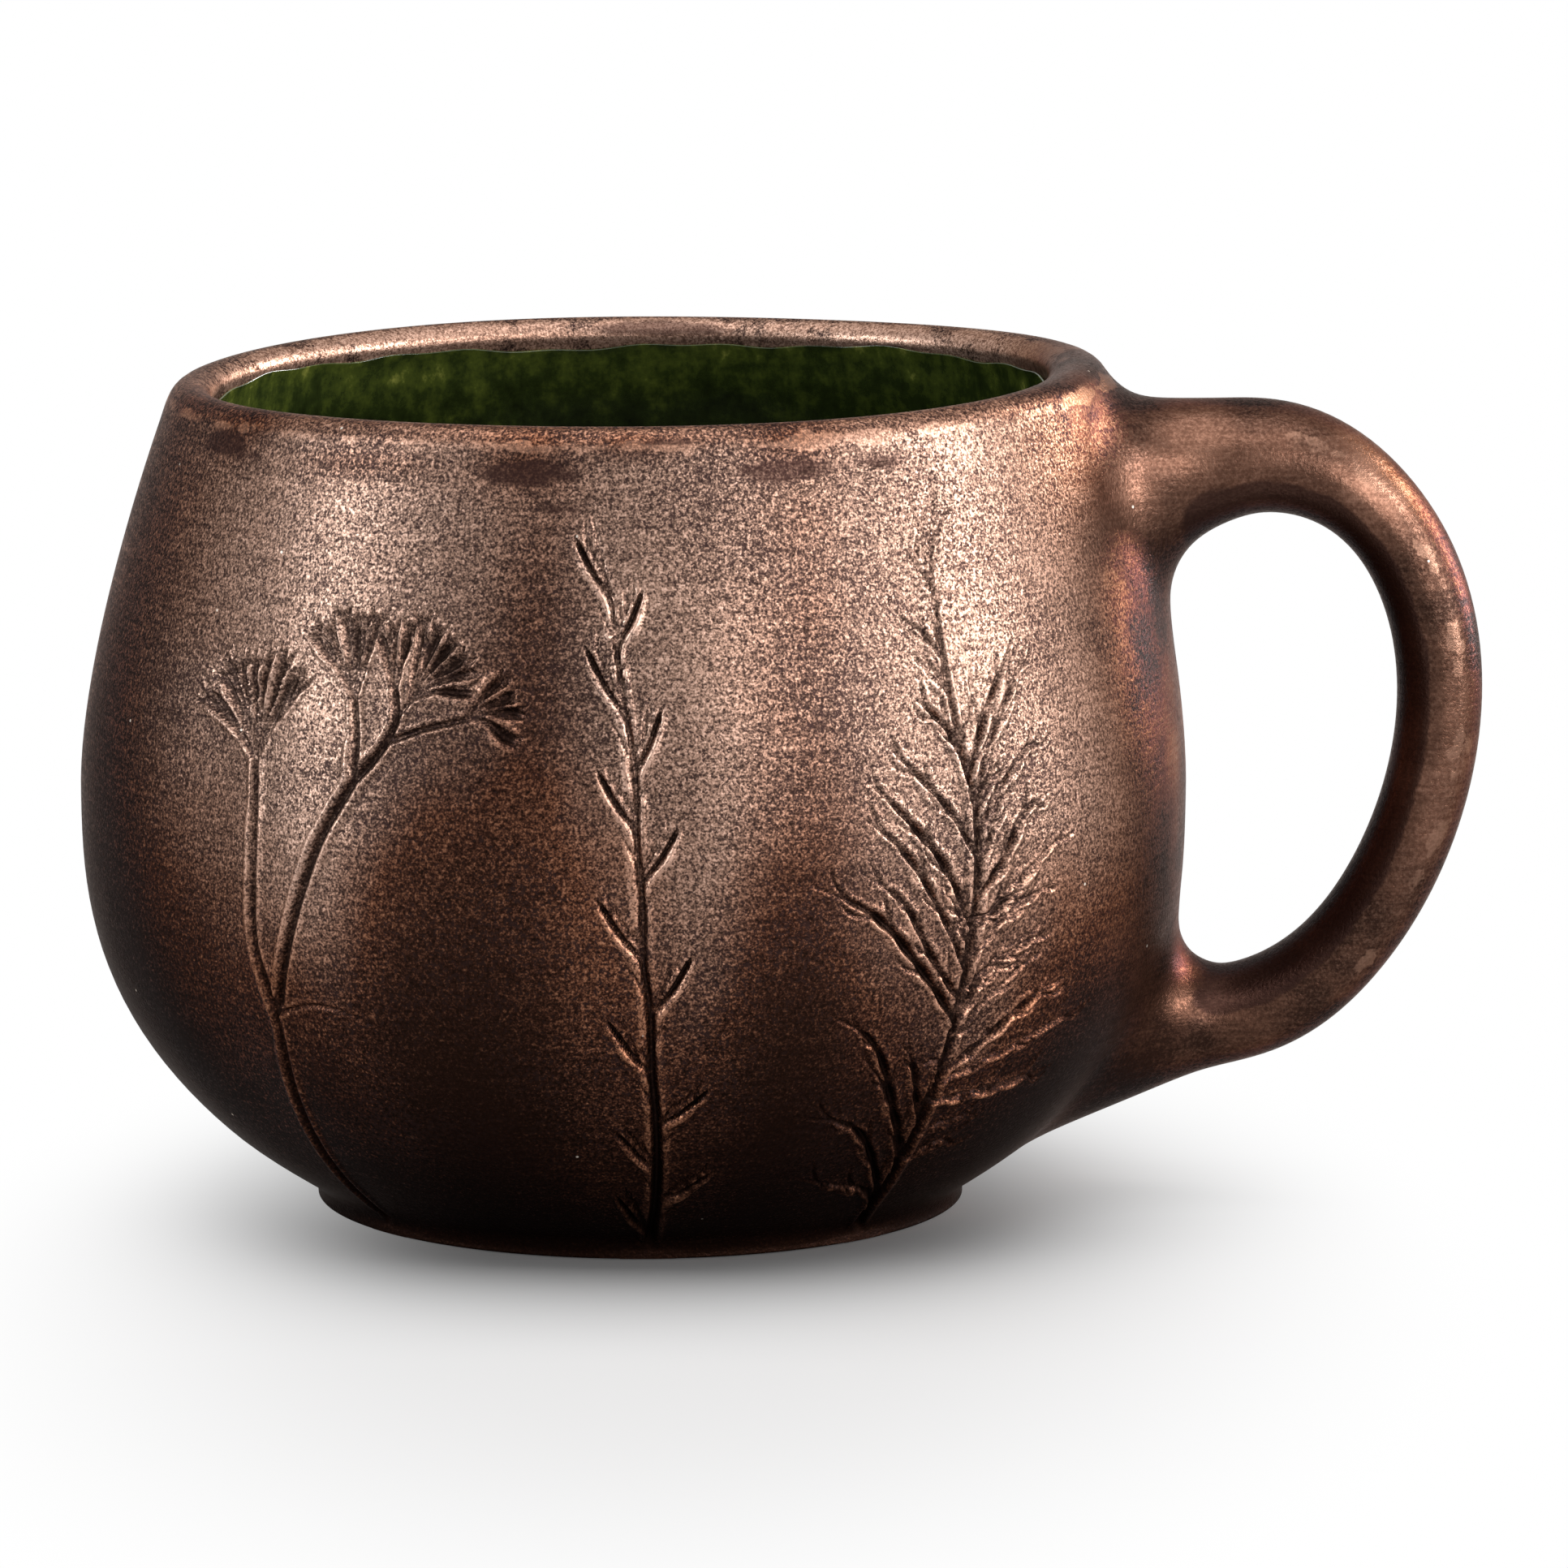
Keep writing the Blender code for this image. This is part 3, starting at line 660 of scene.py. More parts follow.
# What the fire and the rubbing cloth left on the wall, and spots of painted shade and highlight: spots as mm round
# it, mm up, half sizes in mm and strength
marks = {
    # fire clouds, and on the front dark spots of painted shade between the lamps' reflections; a negative strength
    # is a painted highlight that makes a place brighter
    "cloudsAndPaintedLight": (
        (10, 46, 4, 15, -0.45), (-30, 36, 6, 20, -0.35), (38, 62, 11, 14, -0.25), (46, 79, 8, 3, -0.4),
        (62, 52, 9, 16, -0.5), (5, 60, 3, 9, -0.5), (42, 23, 6, 8, -0.4), (22, 60, 5, 26, 0.4),
        (-58, 24, 16, 18, 0.85), (-18, 26, 5, 22, 0.6), (-31, 20, 8, 14, 0.5), (-6, 30, 4, 24, 0.5),
        (22, 80.5, 5, 1.6, 0.6), (4, 81, 7, 1.4, 0.55), (-28, 79, 9, 1.8, 0.6), (-66, 42, 16, 50, 0.97),
        (-12, 24, 7.5, 30, 0.95), (-6, 62, 4.5, 15, 0.7), (-8, 79.5, 5, 2.6, 0.8), (-48, 80.5, 5, 2.4, 0.8),
        (20, 22, 6.5, 26, 0.85), (59, 14, 14, 16, 0.9), (30, 12, 14, 10, 0.45), (108, 52, 9, 26, 0.7),
        (150, 30, 14, 22, 0.8), (-112, 36, 13, 30, 0.8), (-150, 60, 10, 20, 0.7), (168, 66, 12, 10, 0.6),
        (80, 24, 12, 12, 0.6), (-86, 74, 9, 6, 0.5),
    ),
    # ragged dark stains along the lip
    "stains": (
        (-51, 79.4, 6, 1.5, 0.95), (-44, 77.8, 5, 1.2, 0.75), (-32, 78.4, 2.5, 0.9, 0.7), (-8, 78.4, 7, 1.6, 0.95),
        (-4, 75.4, 5, 1.0, 0.75), (8, 81.4, 7, 0.6, 0.7), (20, 78.4, 7, 1.3, 0.95), (33, 78.6, 6, 0.9, 0.75),
        (53, 81.0, 5, 0.8, 0.7), (100, 79, 9, 1.5, 0.8), (140, 80, 8, 1.2, 0.7), (-80, 79, 7, 1.4, 0.8),
        (-120, 79.5, 9, 1.5, 0.8), (174, 81.6, 16, 1.0, 0.8),
    ),
    # where the lustre is thin and the copper-brown of the clay comes through
    "copper": ((66, 46, 12, 32, 0.65), (-4, 36, 15, 15, 0.6), (-120, 50, 30, 16, 0.5), (125, 40, 20, 20, 0.6)),
    "calm": 0.9,                # how smooth the clay is on the handle, and round its roots
    "calmReach": 25.0,
    "wornLip": (0.8, 81.0, 0.8),        # strength, height and half width
    "wornBack": 0.95,           # inside the lip, opposite the camera
    "wornInset": (1.6, 1.2),    # from so many mm inside the outer face, and over how many
    "wornUp": (78.0, 1.5),
    "copperLip": 0.5,
    "copperUp": (80.4, 1.2),
    "handleLift": 14.0,         # the handle is as light as the wall is this much higher up
}


def covered(places, spots):
    # how far the spots cover each place on the wall
    round360 = 2.0 * math.pi * form["bellyRadius"] / mm
    clear = np.ones(len(places))
    for across, up, halfWidth, halfHeight, strength in spots:
        apart = (places[:, 0] - across + round360 / 2.0) % round360 - round360 / 2.0
        far = (apart / halfWidth) ** 2 + ((places[:, 1] - up) / halfHeight) ** 2
        clear *= 1.0 - strength * np.exp(-far)
    return 1.0 - clear


def storeFaceValues(piece, points, onWall=1.0, worn=0.0, paintedLoopShade=0.0):
    # what the lustre needs at each point; onWall is 1 on the wall and falls to 0 along the handle, away from it
    places = facePlaces(points)[0]
    height, back = points[:, 2] / mm, points[:, 1] / form["rimRadius"]
    inset = (outerRadius(points[:, 2]) - np.hypot(points[:, 0], points[:, 1])) / mm
    fromHandle = np.abs(np.arctan2(points[:, 1], points[:, 0])) * form["bellyRadius"] / mm
    smoothed = marks["calm"] * np.exp(-((fromHandle / marks["calmReach"]) ** 4))
    # the lip is copper-brown in front, and worn pale inside at the back
    strength, middle, half = marks["wornLip"]
    lip = strength * np.exp(-(((height - middle) / half) ** 2))
    lipBack = marks["wornBack"] * risen(inset, *marks["wornInset"]) * risen(height, *marks["wornUp"])
    lipBack *= ease(back + 0.5)
    lipFront = marks["copperLip"] * risen(height, *marks["copperUp"]) * ease(0.5 - back)
    store(piece, "level", height + marks["handleLift"] * (1.0 - onWall))
    # fire clouds, with spots of painted shade and painted highlight on the front
    store(piece, "smoke", covered(places, marks["cloudsAndPaintedLight"]) * onWall)
    # real stains along the lip, and the painted shade inside the handle's loop
    store(piece, "stainAndShade", np.maximum(covered(places, marks["stains"]) * onWall, paintedLoopShade))
    store(piece, "copper", np.maximum(covered(places, marks["copper"]), lipFront) * onWall)
    store(piece, "calm", marks["calm"] + (smoothed - marks["calm"]) * onWall)
    store(piece, "worn", np.maximum(worn, np.maximum(lip, lipBack) * onWall))


# Base: only its bare underside shows, inside the coated edge of the foot
base = {"steps": 128, "gap": 0.05 * mm, "edge": 0.2 * mm, "hollow": 0.15 * mm, "hollowed": (26.0 * mm, 20.0 * mm)}


def buildBase(material):
    radius, edge, (rim, middle) = wall["underside"] - base["gap"], base["edge"], base["hollowed"]
    profile = [(0.0, form["floor"]), (radius, form["floor"]), (radius, edge), (radius - edge, 0.0)]
    profile += [(rim, 0.0), (middle, base["hollow"]), (0.0, base["hollow"])]
    bm = turned(profile, base["steps"], closed=False)
    placePoints(bm, handShaped(pointsOf(bm)))
    addPiece("base_underside", bm, material, ["base_disc"])


# Glaze lining: it thins out just under the crest of the lip
lining = {
    "steps": 192,
    "row": 2.0 * mm,
    "thickness": 0.9 * mm,
    "edge": 0.04 * mm,
    "thinning": 6.0 * mm,       # over which it gets thinner towards its edge
    "belowCrest": 2.1 * mm,
    "edgeWave": 0.5 * mm,
    "edgeRows": (0.0, 0.07 * mm, 0.2 * mm, 0.5 * mm, 1.1 * mm),
    "behind": 0.25 * mm,
    "corner": 10.0 * mm,        # how far the rounded corner over the seam coil reaches
    "cornerRings": 12,
    "lipRings": 24,
    "waves": ((0.6, 4, 0.6), (0.4, 11, 0.0), (0.25, 29, 1.0)),     # share, turns round the lip and start
    "waveFrom": 7.0 * mm,       # below the crest
    "waveOver": 4.5 * mm,
}


def cornerBend():
    # the rounded corner inside, over the seam coil, and the level where it starts
    corner = np.array([radiusAt(form["floor"], -form["thickness"]), form["floor"]])
    levels = np.linspace(levelFor(form["floor"], -form["thickness"]), form["floor"] + 2.0 * lining["corner"], 300)
    side = np.stack(besideWall(levels, -form["thickness"]), axis=1)
    first = int(np.argmax(np.hypot(*(side - corner).T) > lining["corner"]))
    end = corner - (lining["corner"], 0.0)
    start = (corner - side[first]) / lining["corner"]
    bend = arch(side[first], start, end, (-1.0, 0.0), lining["cornerRings"])
    return levels[first], [tuple(point) for point in bend]


def buildLining(material):
    lip, innerLevel = lipCurve(lining["lipRings"])
    inside = [point for point in lip[lining["lipRings"] + 1:] if point[1] < form["height"] - lining["belowCrest"]]
    cornerLevel, bend = cornerBend()
    levels = evenLevels(cornerLevel, innerLevel, lining["row"])
    inside += [besideWall(z, -form["thickness"]) for z in levels[::-1][1:-1]] + bend
    inside = np.array(inside)
    inward = -leftAlong(inside)
    run = np.concatenate([[0.0], np.cumsum(np.hypot(*np.diff(inside, axis=0).T))])
    # closer rows keep the edge a thin line
    rows = np.concatenate([lining["edgeRows"], run[run > lining["edgeRows"][-1] + 0.4 * mm]])
    inside, inward = (np.stack([np.interp(rows, run, part) for part in old.T], axis=1) for old in (inside, inward))
    thick = lining["edge"] + (lining["thickness"] - lining["edge"]) * ease(rows / lining["thinning"])
    front = inside + inward * thick[:, None]
    back = inside - inward * lining["behind"]
    profile = [(0.0, form["floor"] + lining["thickness"])] + [tuple(point) for point in front[::-1]]
    profile += [tuple(point) for point in back] + [(0.0, form["floor"] - lining["behind"])]
    bm = turned(profile, lining["steps"], closed=False)
    points = pointsOf(bm)
    # the glaze was poured, so its edge isn't level
    angle = np.arctan2(points[:, 1], points[:, 0])
    wave = 1.0 + sum(share * np.sin(turns * angle + start) for share, turns, start in lining["waves"])
    nearEdge = ease((points[:, 2] - form["height"] + lining["waveFrom"]) / lining["waveOver"])
    points[:, 2] -= lining["edgeWave"] * wave * nearEdge
    placePoints(bm, handShaped(points))
    piece = addPiece("green_lining", bm, material, ["glaze_lining"])
    store(piece, "level", points[:, 2] / mm)


# Handle: a rolled loop, luted on at both ends
handle = {
    "upperHeight": form["height"] - 9.0 * mm,
    "lowerHeight": 18.8 * mm,
    "reach": 24.6 * mm,
    "standoff": 4.0 * mm,
    "lean": 1.6 * mm,
    "even": 0.48,
    "grip": (8.4 * mm, 12.2 * mm),     # thickness and width
    "upper": (10.9 * mm, 14.8 * mm),
    "lower": (9.5 * mm, 14.0 * mm),
    "upperSpread": (3.2 * mm, 13.8 * mm),   # how far the smoothed clay runs up over the lip, and down
    "lowerSpread": (8.5 * mm, 9.8 * mm),
    "sideSpread": 8.5 * mm,
    "crowding": 1.7,
    "skirts": ((-0.30 * mm, 2.4 * mm), (-0.10 * mm, 1.2 * mm), (-0.02 * mm, 0.4 * mm)),  # under the skin, beyond
    "sides": 64,
    "gripRings": 80,
    "rootRings": 24,
    "smoothing": 12,
    "blend": 7.0 * mm,          # off the wall, its colour turns into the handle's own over this distance
    "held": 6,                  # rings at each edge that stay on the wall, and over which the smoothing sets in
    "easedIn": 8.0,
    "worn": (0.64, 0.62, 0.24), # along the two ridges, rubbed wear that also paints the highlight of the outer ridge: strength, how far they face outwards, and half width
    "wornFrom": (60.0 * mm, 10.0 * mm),     # how far out that starts, and over how much
    "paintedLoopShade": (-0.02, 0.60),      # painted shade on the inside of the loop: from how far it faces outwards, and over how much
}


def gripPoint(turn):
    halfRise = (handle["upperHeight"] - handle["lowerHeight"]) / 2.0
    lean = handle["lean"] * math.sin(2.0 * turn)
    across = (handle["reach"] - handle["standoff"] + lean) * math.cos(turn)
    along = (halfRise + lean) * math.sin(turn)
    centre = form["bellyRadius"] + handle["standoff"]
    return np.array([centre + across, 0.0, handle["lowerHeight"] + halfRise + along])


def fillet(spread, offset):
    # how much wider than its arm a root is at a distance off the wall
    offset = max(offset, 0.0)
    return 0.0 if offset >= spread else spread - math.sqrt(spread ** 2 - (spread - offset) ** 2)


def sectionTurns():
    return np.arange(handle["sides"]) * 2.0 * math.pi / handle["sides"]


def flatRing(centre, away, thickness, width):
    turns, across = sectionTurns()[:, None], np.array([0.0, 1.0, 0.0])
    return centre + away * np.cos(turns) * thickness / 2.0 + across * np.sin(turns) * width / 2.0


def faceCurve():
    # the outer face with the lip rolled over it, against a level that goes on along the lip
    low, top = form["footHeight"], form["height"] - wall["lipOuter"]
    heights = np.linspace(low, top, 400)
    lip = lipCurve(40)[0]
    run = np.cumsum(np.hypot(*np.diff(lip, axis=0).T))
    radii = np.concatenate([outerRadius(heights), lip[1:, 0]])
    rises = np.concatenate([heights, lip[1:, 1]])
    levels = np.concatenate([heights, top + run])
    ahead = np.stack([np.gradient(radii, levels), np.gradient(rises, levels)])
    ahead /= np.hypot(*ahead)
    return levels, radii, rises, ahead[1], -ahead[0]


def besideFace(levels, offset, height):
    curve = faceCurve()
    radius, rise, radial, vertical = (np.interp(levels, curve[0], values) for values in curve[1:])
    return radius + offset * radial, rise + offset * (vertical - outward(height)[1])


def rootRing(offset, beyond, share, height, section, spread, facing):
    # a section between the root's edge, which hugs the wall, and the arm
    rise, fall = (section[0] / 2.0 + fillet(reach, offset) for reach in spread)
    halfWidth = section[1] / 2.0 + fillet(handle["sideSpread"], offset)
    turns = sectionTurns()
    up = facing * np.cos(turns)
    levels = height + up * (np.where(up > 0.0, rise, fall) + beyond)
    if facing > 0:
        radius, rises = besideFace(levels, offset, height)
    else:
        radius, rises = radiusAt(levels, offset), levels
    angle = np.sin(turns) * (halfWidth + beyond) / radius
    hugging = np.stack([radius * np.cos(angle), radius * np.sin(angle), rises], axis=1)
    centre = np.array([float(outerRadius(height)) + offset, 0.0, height + (rise - fall) / 2.0])
    flat = flatRing(centre, np.array([0.0, 0.0, facing]), rise + fall, 2.0 * halfWidth)
    return hugging + (flat - hugging) * ease(share)


def rootRings(height, section, spread, facing):
    start = gripPoint(facing * math.pi / 2.0)[0] - float(outerRadius(height))
    rings = [rootRing(offset, beyond, 0.0, height, section, spread, facing) for offset, beyond in handle["skirts"]]
    for i in range(handle["rootRings"]):
        share = i / handle["rootRings"]
        rings.append(rootRing(start * share ** handle["crowding"], 0.0, share, height, section, spread, facing))
    return rings


def gripRings():
    rings = []
    nudge = 0.01
    for turn in np.linspace(math.pi / 2.0, -math.pi / 2.0, handle["gripRings"] + 1):
        ahead = gripPoint(turn - nudge) - gripPoint(turn + nudge)
        away = np.array([-ahead[2], 0.0, ahead[0]]) / np.linalg.norm(ahead)
        root = handle["upper"] if turn > 0.0 else handle["lower"]
        share = float(ease((abs(turn) / (math.pi / 2.0) - handle["even"]) / (1.0 - handle["even"])))
        thickness, width = (grip + (arm - grip) * share for grip, arm in zip(handle["grip"], root))
        rings.append(flatRing(gripPoint(turn), away, thickness, width))
    return rings


def handleRings():
    upper = rootRings(handle["upperHeight"], handle["upper"], handle["upperSpread"], 1)
    lower = rootRings(handle["lowerHeight"], handle["lower"], handle["lowerSpread"], -1)
    rings = np.array(upper + gripRings() + lower[::-1])
    # take out the slight corners where the roots meet the loop, but keep the edges on the wall
    order = np.arange(len(rings))
    fromEdge = np.minimum(order, order[::-1]) - len(handle["skirts"]) - handle["held"]
    hold = ease(fromEdge / handle["easedIn"])
    for _ in range(handle["smoothing"]):
        middle = (rings[:-2] + 2.0 * rings[1:-1] + rings[2:]) / 4.0
        rings[1:-1] += (middle - rings[1:-1]) * hold[1:-1, None, None]
    return rings


def tube(rings):
    # a grid rolled into a tube along the rings, its seam welded and its ends closed
    count, sides = rings.shape[:2]
    rings = np.concatenate([rings, rings[:, :1]], axis=1)
    bm = bmesh.new()
    bmesh.ops.create_grid(bm, x_segments=sides, y_segments=count - 1, size=0.5)
    for vertex in bm.verts:
        vertex.co = rings[round((vertex.co.y + 0.5) * (count - 1)), round((vertex.co.x + 0.5) * sides)]
    bmesh.ops.remove_doubles(bm, verts=bm.verts, dist=weld)
    bmesh.ops.holes_fill(bm, edges=bm.edges, sides=0)
    bmesh.ops.recalc_face_normals(bm, faces=bm.faces)
    return bm


def buildHandle(material):
    bm = tube(handleRings())
    points = pointsOf(bm)
    bm.normal_update()
    facing = np.array([vertex.normal[:] for vertex in bm.verts])
    away = (points - gripPoint(0.0) + (handle["reach"], 0.0, 0.0)) * (1.0, 0.0, 1.0)
    away /= np.linalg.norm(away, axis=1)[:, None]
    outwards = (facing * away).sum(axis=1)
    placePoints(bm, handShaped(points))
    piece = addPiece("loop_handle", bm, material, ["handle"])
    offWall = ease((np.hypot(points[:, 0], points[:, 1]) - outerRadius(points[:, 2])) / handle["blend"])
    # rubbed wear on the ridges, partly a painted highlight
    strength, middle, half = handle["worn"]
    worn = strength * np.exp(-(((outwards - middle) / half) ** 2))
    worn *= risen(points[:, 0], *handle["wornFrom"])
    # painted shade on the inside of the loop, which faces away from the light
    shadeFrom, shadeOver = handle["paintedLoopShade"]
    paintedLoopShade = ease((shadeFrom - outwards) / shadeOver) * offWall
    storeFaceValues(piece, points, onWall=1.0 - offWall, worn=worn, paintedLoopShade=paintedLoopShade)


# Iron-rich stoneware under a thin bronze lustre that was rubbed back after firing: satin, between metal and clay,
# with dark oxide left in the pores and pinkish copper where the cloth took it off
# Its coat also carries painted shade towards the foot, between the lamps' reflections and inside the handle's loop,
# and painted highlights in a few spots
lustre = {
    # period in mm, detail and roughness of each pattern
    "patterns": {
        "grain": (0.37, 2.0, 0.60),     # rubbed grains of about 0.2 mm
        "fine": (0.21, 1.0, 0.50),      # finer ones of 0.05 mm, drawn coarser so that they show
        "pores": (0.42, 2.0, 0.65),     # dark pits between them
        "cloud": (13.0, 3.0, 0.55),     # fire clouds
        "patch": (45.0, 1.0, 0.50),
        "streak": (7.5, 3.0, 0.60),     # strokes of the rubbing cloth, round the wall
        "ragged": (5.0, 4.0, 0.66),     # edges of flakes and stains
    },
    "streakHeight": 0.42,
    "specks": 6.5,              # pale grit, one about every so many mm
    "speckRadius": 0.11,
    # one tone, dark at 0 and bright at 1: its middle, and what each pattern and stored value adds
    "tone": 0.50,
    "weights": {"grain": 0.95, "fine": 0.80, "cloud": 0.18, "patch": 0.12, "streak": 0.32},
    "storedWeights": {"raised": 0.95, "pressed": -0.22, "copper": 0.08, "smoke": -0.12},
    "flakes": 0.14,
    "tones": ((0.15, "#1f1512"), (0.36, "#40302a"), (0.50, "#665045"), (0.64, "#8f7263"), (0.82, "#b69686")),
    # darker, browner tones for low down on the wall, as painted shade
    "shadedLowTones": ((0.15, "#0e0806"), (0.36, "#291711"), (0.50, "#482c21"), (0.64, "#724a36"), (0.82, "#9c6d54")),
    # the same for the handle and the clay round its roots, which are smoother
    "softTone": -0.26,
    "softWeights": {"grain": 0.28, "cloud": 0.90, "streak": 0.18},
    "softTones": ((0.30, "#281913"), (0.50, "#54392d"), (0.75, "#845f4e")),
    # where each share starts and ends, as mm up, mm deep or a sum of patterns, and how much it is there
    "lower": (4.0, 44.0, -0.19, 0.0),       # painted shade: darker towards the foot,
    "upper": (12.0, 56.0, 0.0, 1.0),        # where it is browner too, as painted shade
    "foot": (0.0, 20.0, 0.85, 0.0),         # painted shade on the foot,
    "soot": (8.0, 66.0, 1.05, 0.12),        # and in the fire clouds and the spots of painted shade, more of it lower down, also as painted shade
    "hollow": (0.30, 0.80, 0.0, 0.82),
    "pits": (0.535, 0.635, 0.75, 0.0),
    "worn": (2.10, 2.26, 0.0, 1.0),
    "stainedAndShaded": (0.86, 1.14, 0.0, 0.75),
    "straight": ("soot", "pits"),           # the others ease in and out
    "wornShare": 0.25,
    "metal": (0.25, 0.60, 0.86, 0.78),      # of the dark oxide and of the bare lustre, by tone
    "rough": (0.30, 0.65, 0.46, 0.35),
    "calmRough": -0.07,
    # the soot colour, also for the painted shade at the foot and in the shade spots
    "sootAndShadeColour": "#1b0e09",
    "poreColour": "#2a1d1c",
    "hollowColour": "#1c120f",
    "wornColour": "#97725f",
    # for the stains and for the painted shade inside the handle's loop
    "stainAndShadeColour": "#2b1b18",
    "gritColour": "#cfc4b8",
    "edgeTint": "#9a8c82",      # bronze stays brown at a glancing angle
    "sheen": 0.25,              # of the clay between the lustre, as specular level
    "grainBump": (0.6, 0.07 * mm),          # strength and height
    "cloudBump": (0.5, 0.20 * mm),
}


def sized(period):
    # a texture scale, per metre, for a pattern that repeats about every period mm
    return 1000.0 / period


def buildLustre():
    material = newMaterial("rubbedLustreStoneware")
    place = addNode(material, "TexCoord").outputs["Object"]
    stored = {
        name: addNode(material, "Attribute", attribute_name=name).outputs["Fac"]
        for name in ("pressed", "raised", "level", "smoke", "stainAndShade", "copper", "calm", "worn")
    }
    squeeze = (1.0, 1.0, lustre["patterns"]["streak"][0] / lustre["streakHeight"])
    rubbed = addNode(material, "Mapping", {"Vector": place, "Scale": squeeze})
    patterns = {}
    for name, (period, detail, rough) in lustre["patterns"].items():
        patterns[name] = addNode(material, "TexNoise", {
            "Vector": rubbed if name == "streak" else place,
            "Scale": sized(period), "Detail": detail, "Roughness": rough
        })

    # sums of patterns and stored values: what each starts from, and what it adds in which share
    sums = {
        "smokyAndPaintedLight": (-0.4, [(patterns["cloud"], 0.8), (stored["smoke"], 1.0)]),
        "pits": (patterns["pores"], [(patterns["cloud"], 0.35)]),
        "worn": (stored["worn"], [(patterns["ragged"], 3.0)]),
        "stainedAndShaded": (stored["stainAndShade"], [(patterns["ragged"], 0.9)]),
        "soft": (lustre["softTone"], [(patterns[name], share) for name, share in lustre["softWeights"].items()]),
    }
    for name, (total, parts) in sums.items():
        for part, share in parts:
            total = addNode(material, "Math", {0: part, 1: share, 2: total}, operation="MULTIPLY_ADD")
        sums[name] = total

    sources = {"hollow": stored["pressed"], "pits": sums["pits"], "worn": sums["worn"], "stainedAndShaded": sums["stainedAndShaded"]}
    sources.update((name, stored["level"]) for name in ("lower", "upper", "foot", "soot"))
    shares = {}
    for name, value in sources.items():
        easing = "LINEAR" if name in lustre["straight"] else "SMOOTHSTEP"
        shares[name] = addNode(material, "MapRange", {"Value": value}, span=lustre[name], interpolation_type=easing)

    # the tone: grains, clouds and the cloth's strokes, and what the press and the fire did at each point, with the
    # spots of painted shade and highlight
    tone = lustre["tone"] - sum(lustre["weights"].values()) / 2.0
    parts = [(patterns[name], share) for name, share in lustre["weights"].items()]
    parts += [(stored[name], share) for name, share in lustre["storedWeights"].items()]
    for part, share in parts + [(shares["lower"], 1.0), (shares["worn"], lustre["flakes"])]:
        tone = addNode(material, "Math", {0: part, 1: share, 2: tone}, operation="MULTIPLY_ADD")
    coats = {
        name: addNode(material, "ValToRGB", {"Fac": value}, stops=lustre[name])
        for name, value in (("tones", tone), ("shadedLowTones", tone), ("softTones", sums["soft"]))
    }
    # the fire clouds and the spots of painted shade turn the coat browner and darker, and the painted highlights
    # pinker
    upper = shares["upper"]
    for part in (sums["smokyAndPaintedLight"], stored["copper"]):
        upper = addNode(material, "Math", {0: upper, 1: part}, operation="SUBTRACT", use_clamp=True)
    flakes = addNode(material, "Math", {0: shares["worn"], 1: lustre["wornShare"]}, operation="MULTIPLY")
    # soot in the fire clouds and the shade spots, more of it lower down, and on the foot: painted shade
    soot = addNode(material, "Math", {0: sums["smokyAndPaintedLight"], 1: shares["soot"]}, operation="MULTIPLY", use_clamp=True)
    soot = addNode(material, "Math", {0: soot, 1: shares["foot"]}, operation="MAXIMUM")
    dots = addNode(material, "TexVoronoi", {"Vector": place, "Scale": sized(lustre["specks"])})
    dotEdge = lustre["speckRadius"] / lustre["specks"]
    grit = addNode(material, "MapRange", {"Value": dots}, span=(dotEdge, dotEdge * 1.6, 0.8, 0.0))

    # from the dark coat near the foot, which is painted shade, to the last specks of grit
    coat = coats["shadedLowTones"]
    for share, tint in (
        (upper, coats["tones"]), (shares["pits"], lustre["poreColour"]), (stored["calm"], coats["softTones"]),
        (flakes, lustre["wornColour"]), (shares["hollow"], lustre["hollowColour"]), (soot, lustre["sootAndShadeColour"]),
        # the stain colour also paints the shade inside the handle's loop
        (shares["stainedAndShaded"], lustre["stainAndShadeColour"]), (grit, lustre["gritColour"]),
    ):
        coat = addNode(material, "Mix", {"Factor": share, "A": coat, "B": tint}, data_type="RGBA")

    metal, rough = (addNode(material, "MapRange", {"Value": tone}, span=lustre[key]) for key in ("metal", "rough"))
    softer = {0: stored["calm"], 1: lustre["calmRough"], 2: rough}
    rough = addNode(material, "Math", softer, operation="MULTIPLY_ADD")
    height = patterns["grain"]
    for part, share in ((patterns["streak"], 0.5), (shares["pits"], -0.35)):
        height = addNode(material, "Math", {0: part, 1: share, 2: height}, operation="MULTIPLY_ADD")
    normal = {}
    for value, (strength, rise) in ((height, lustre["grainBump"]), (patterns["cloud"], lustre["cloudBump"])):
        bump = addNode(material, "Bump", {"Height": value, "Strength": strength, "Distance": rise, **normal})
        normal = {"Normal": bump}
    shader = addNode(material, "BsdfPrincipled", {
        "Base Color": coat, "Roughness": rough, "Metallic": metal, "Normal": bump,
        "Specular IOR Level": lustre["sheen"], "Specular Tint": lustre["edgeTint"]
    })
    addNode(material, "OutputMaterial", {"Surface": shader})
    return material


# Copper-green glaze over dark clay: glossy, mottled, and run down the wall in streaks
glaze = {
    "mottle": (3.4, 6.0, 0.70),     # period in mm, detail and roughness
    "runs": (1.3, 3.0, 0.50),
    "runLength": 9.0,
    "weights": (1.15, 0.32),        # of the mottle and the runs
    "thin": (56.0, 82.0, -0.50, 0.02),      # darker below this, as painted shade inside the mug; from here up to the lip the glaze gets thinner and lighter
    "pool": (7.0, 34.0, 0.26, 0.0),         # on the floor it lies thicker and glassier, and shows more of its green
    "tones": ((0.0, "#040602"), (0.35, "#0b0f04"), (0.6, "#1a210a"), (0.8, "#313812"), (1.0, "#67682f")),
    "roughness": 0.19,
    "sheen": 0.3,
    "bump": (0.5, 0.12 * mm),
}


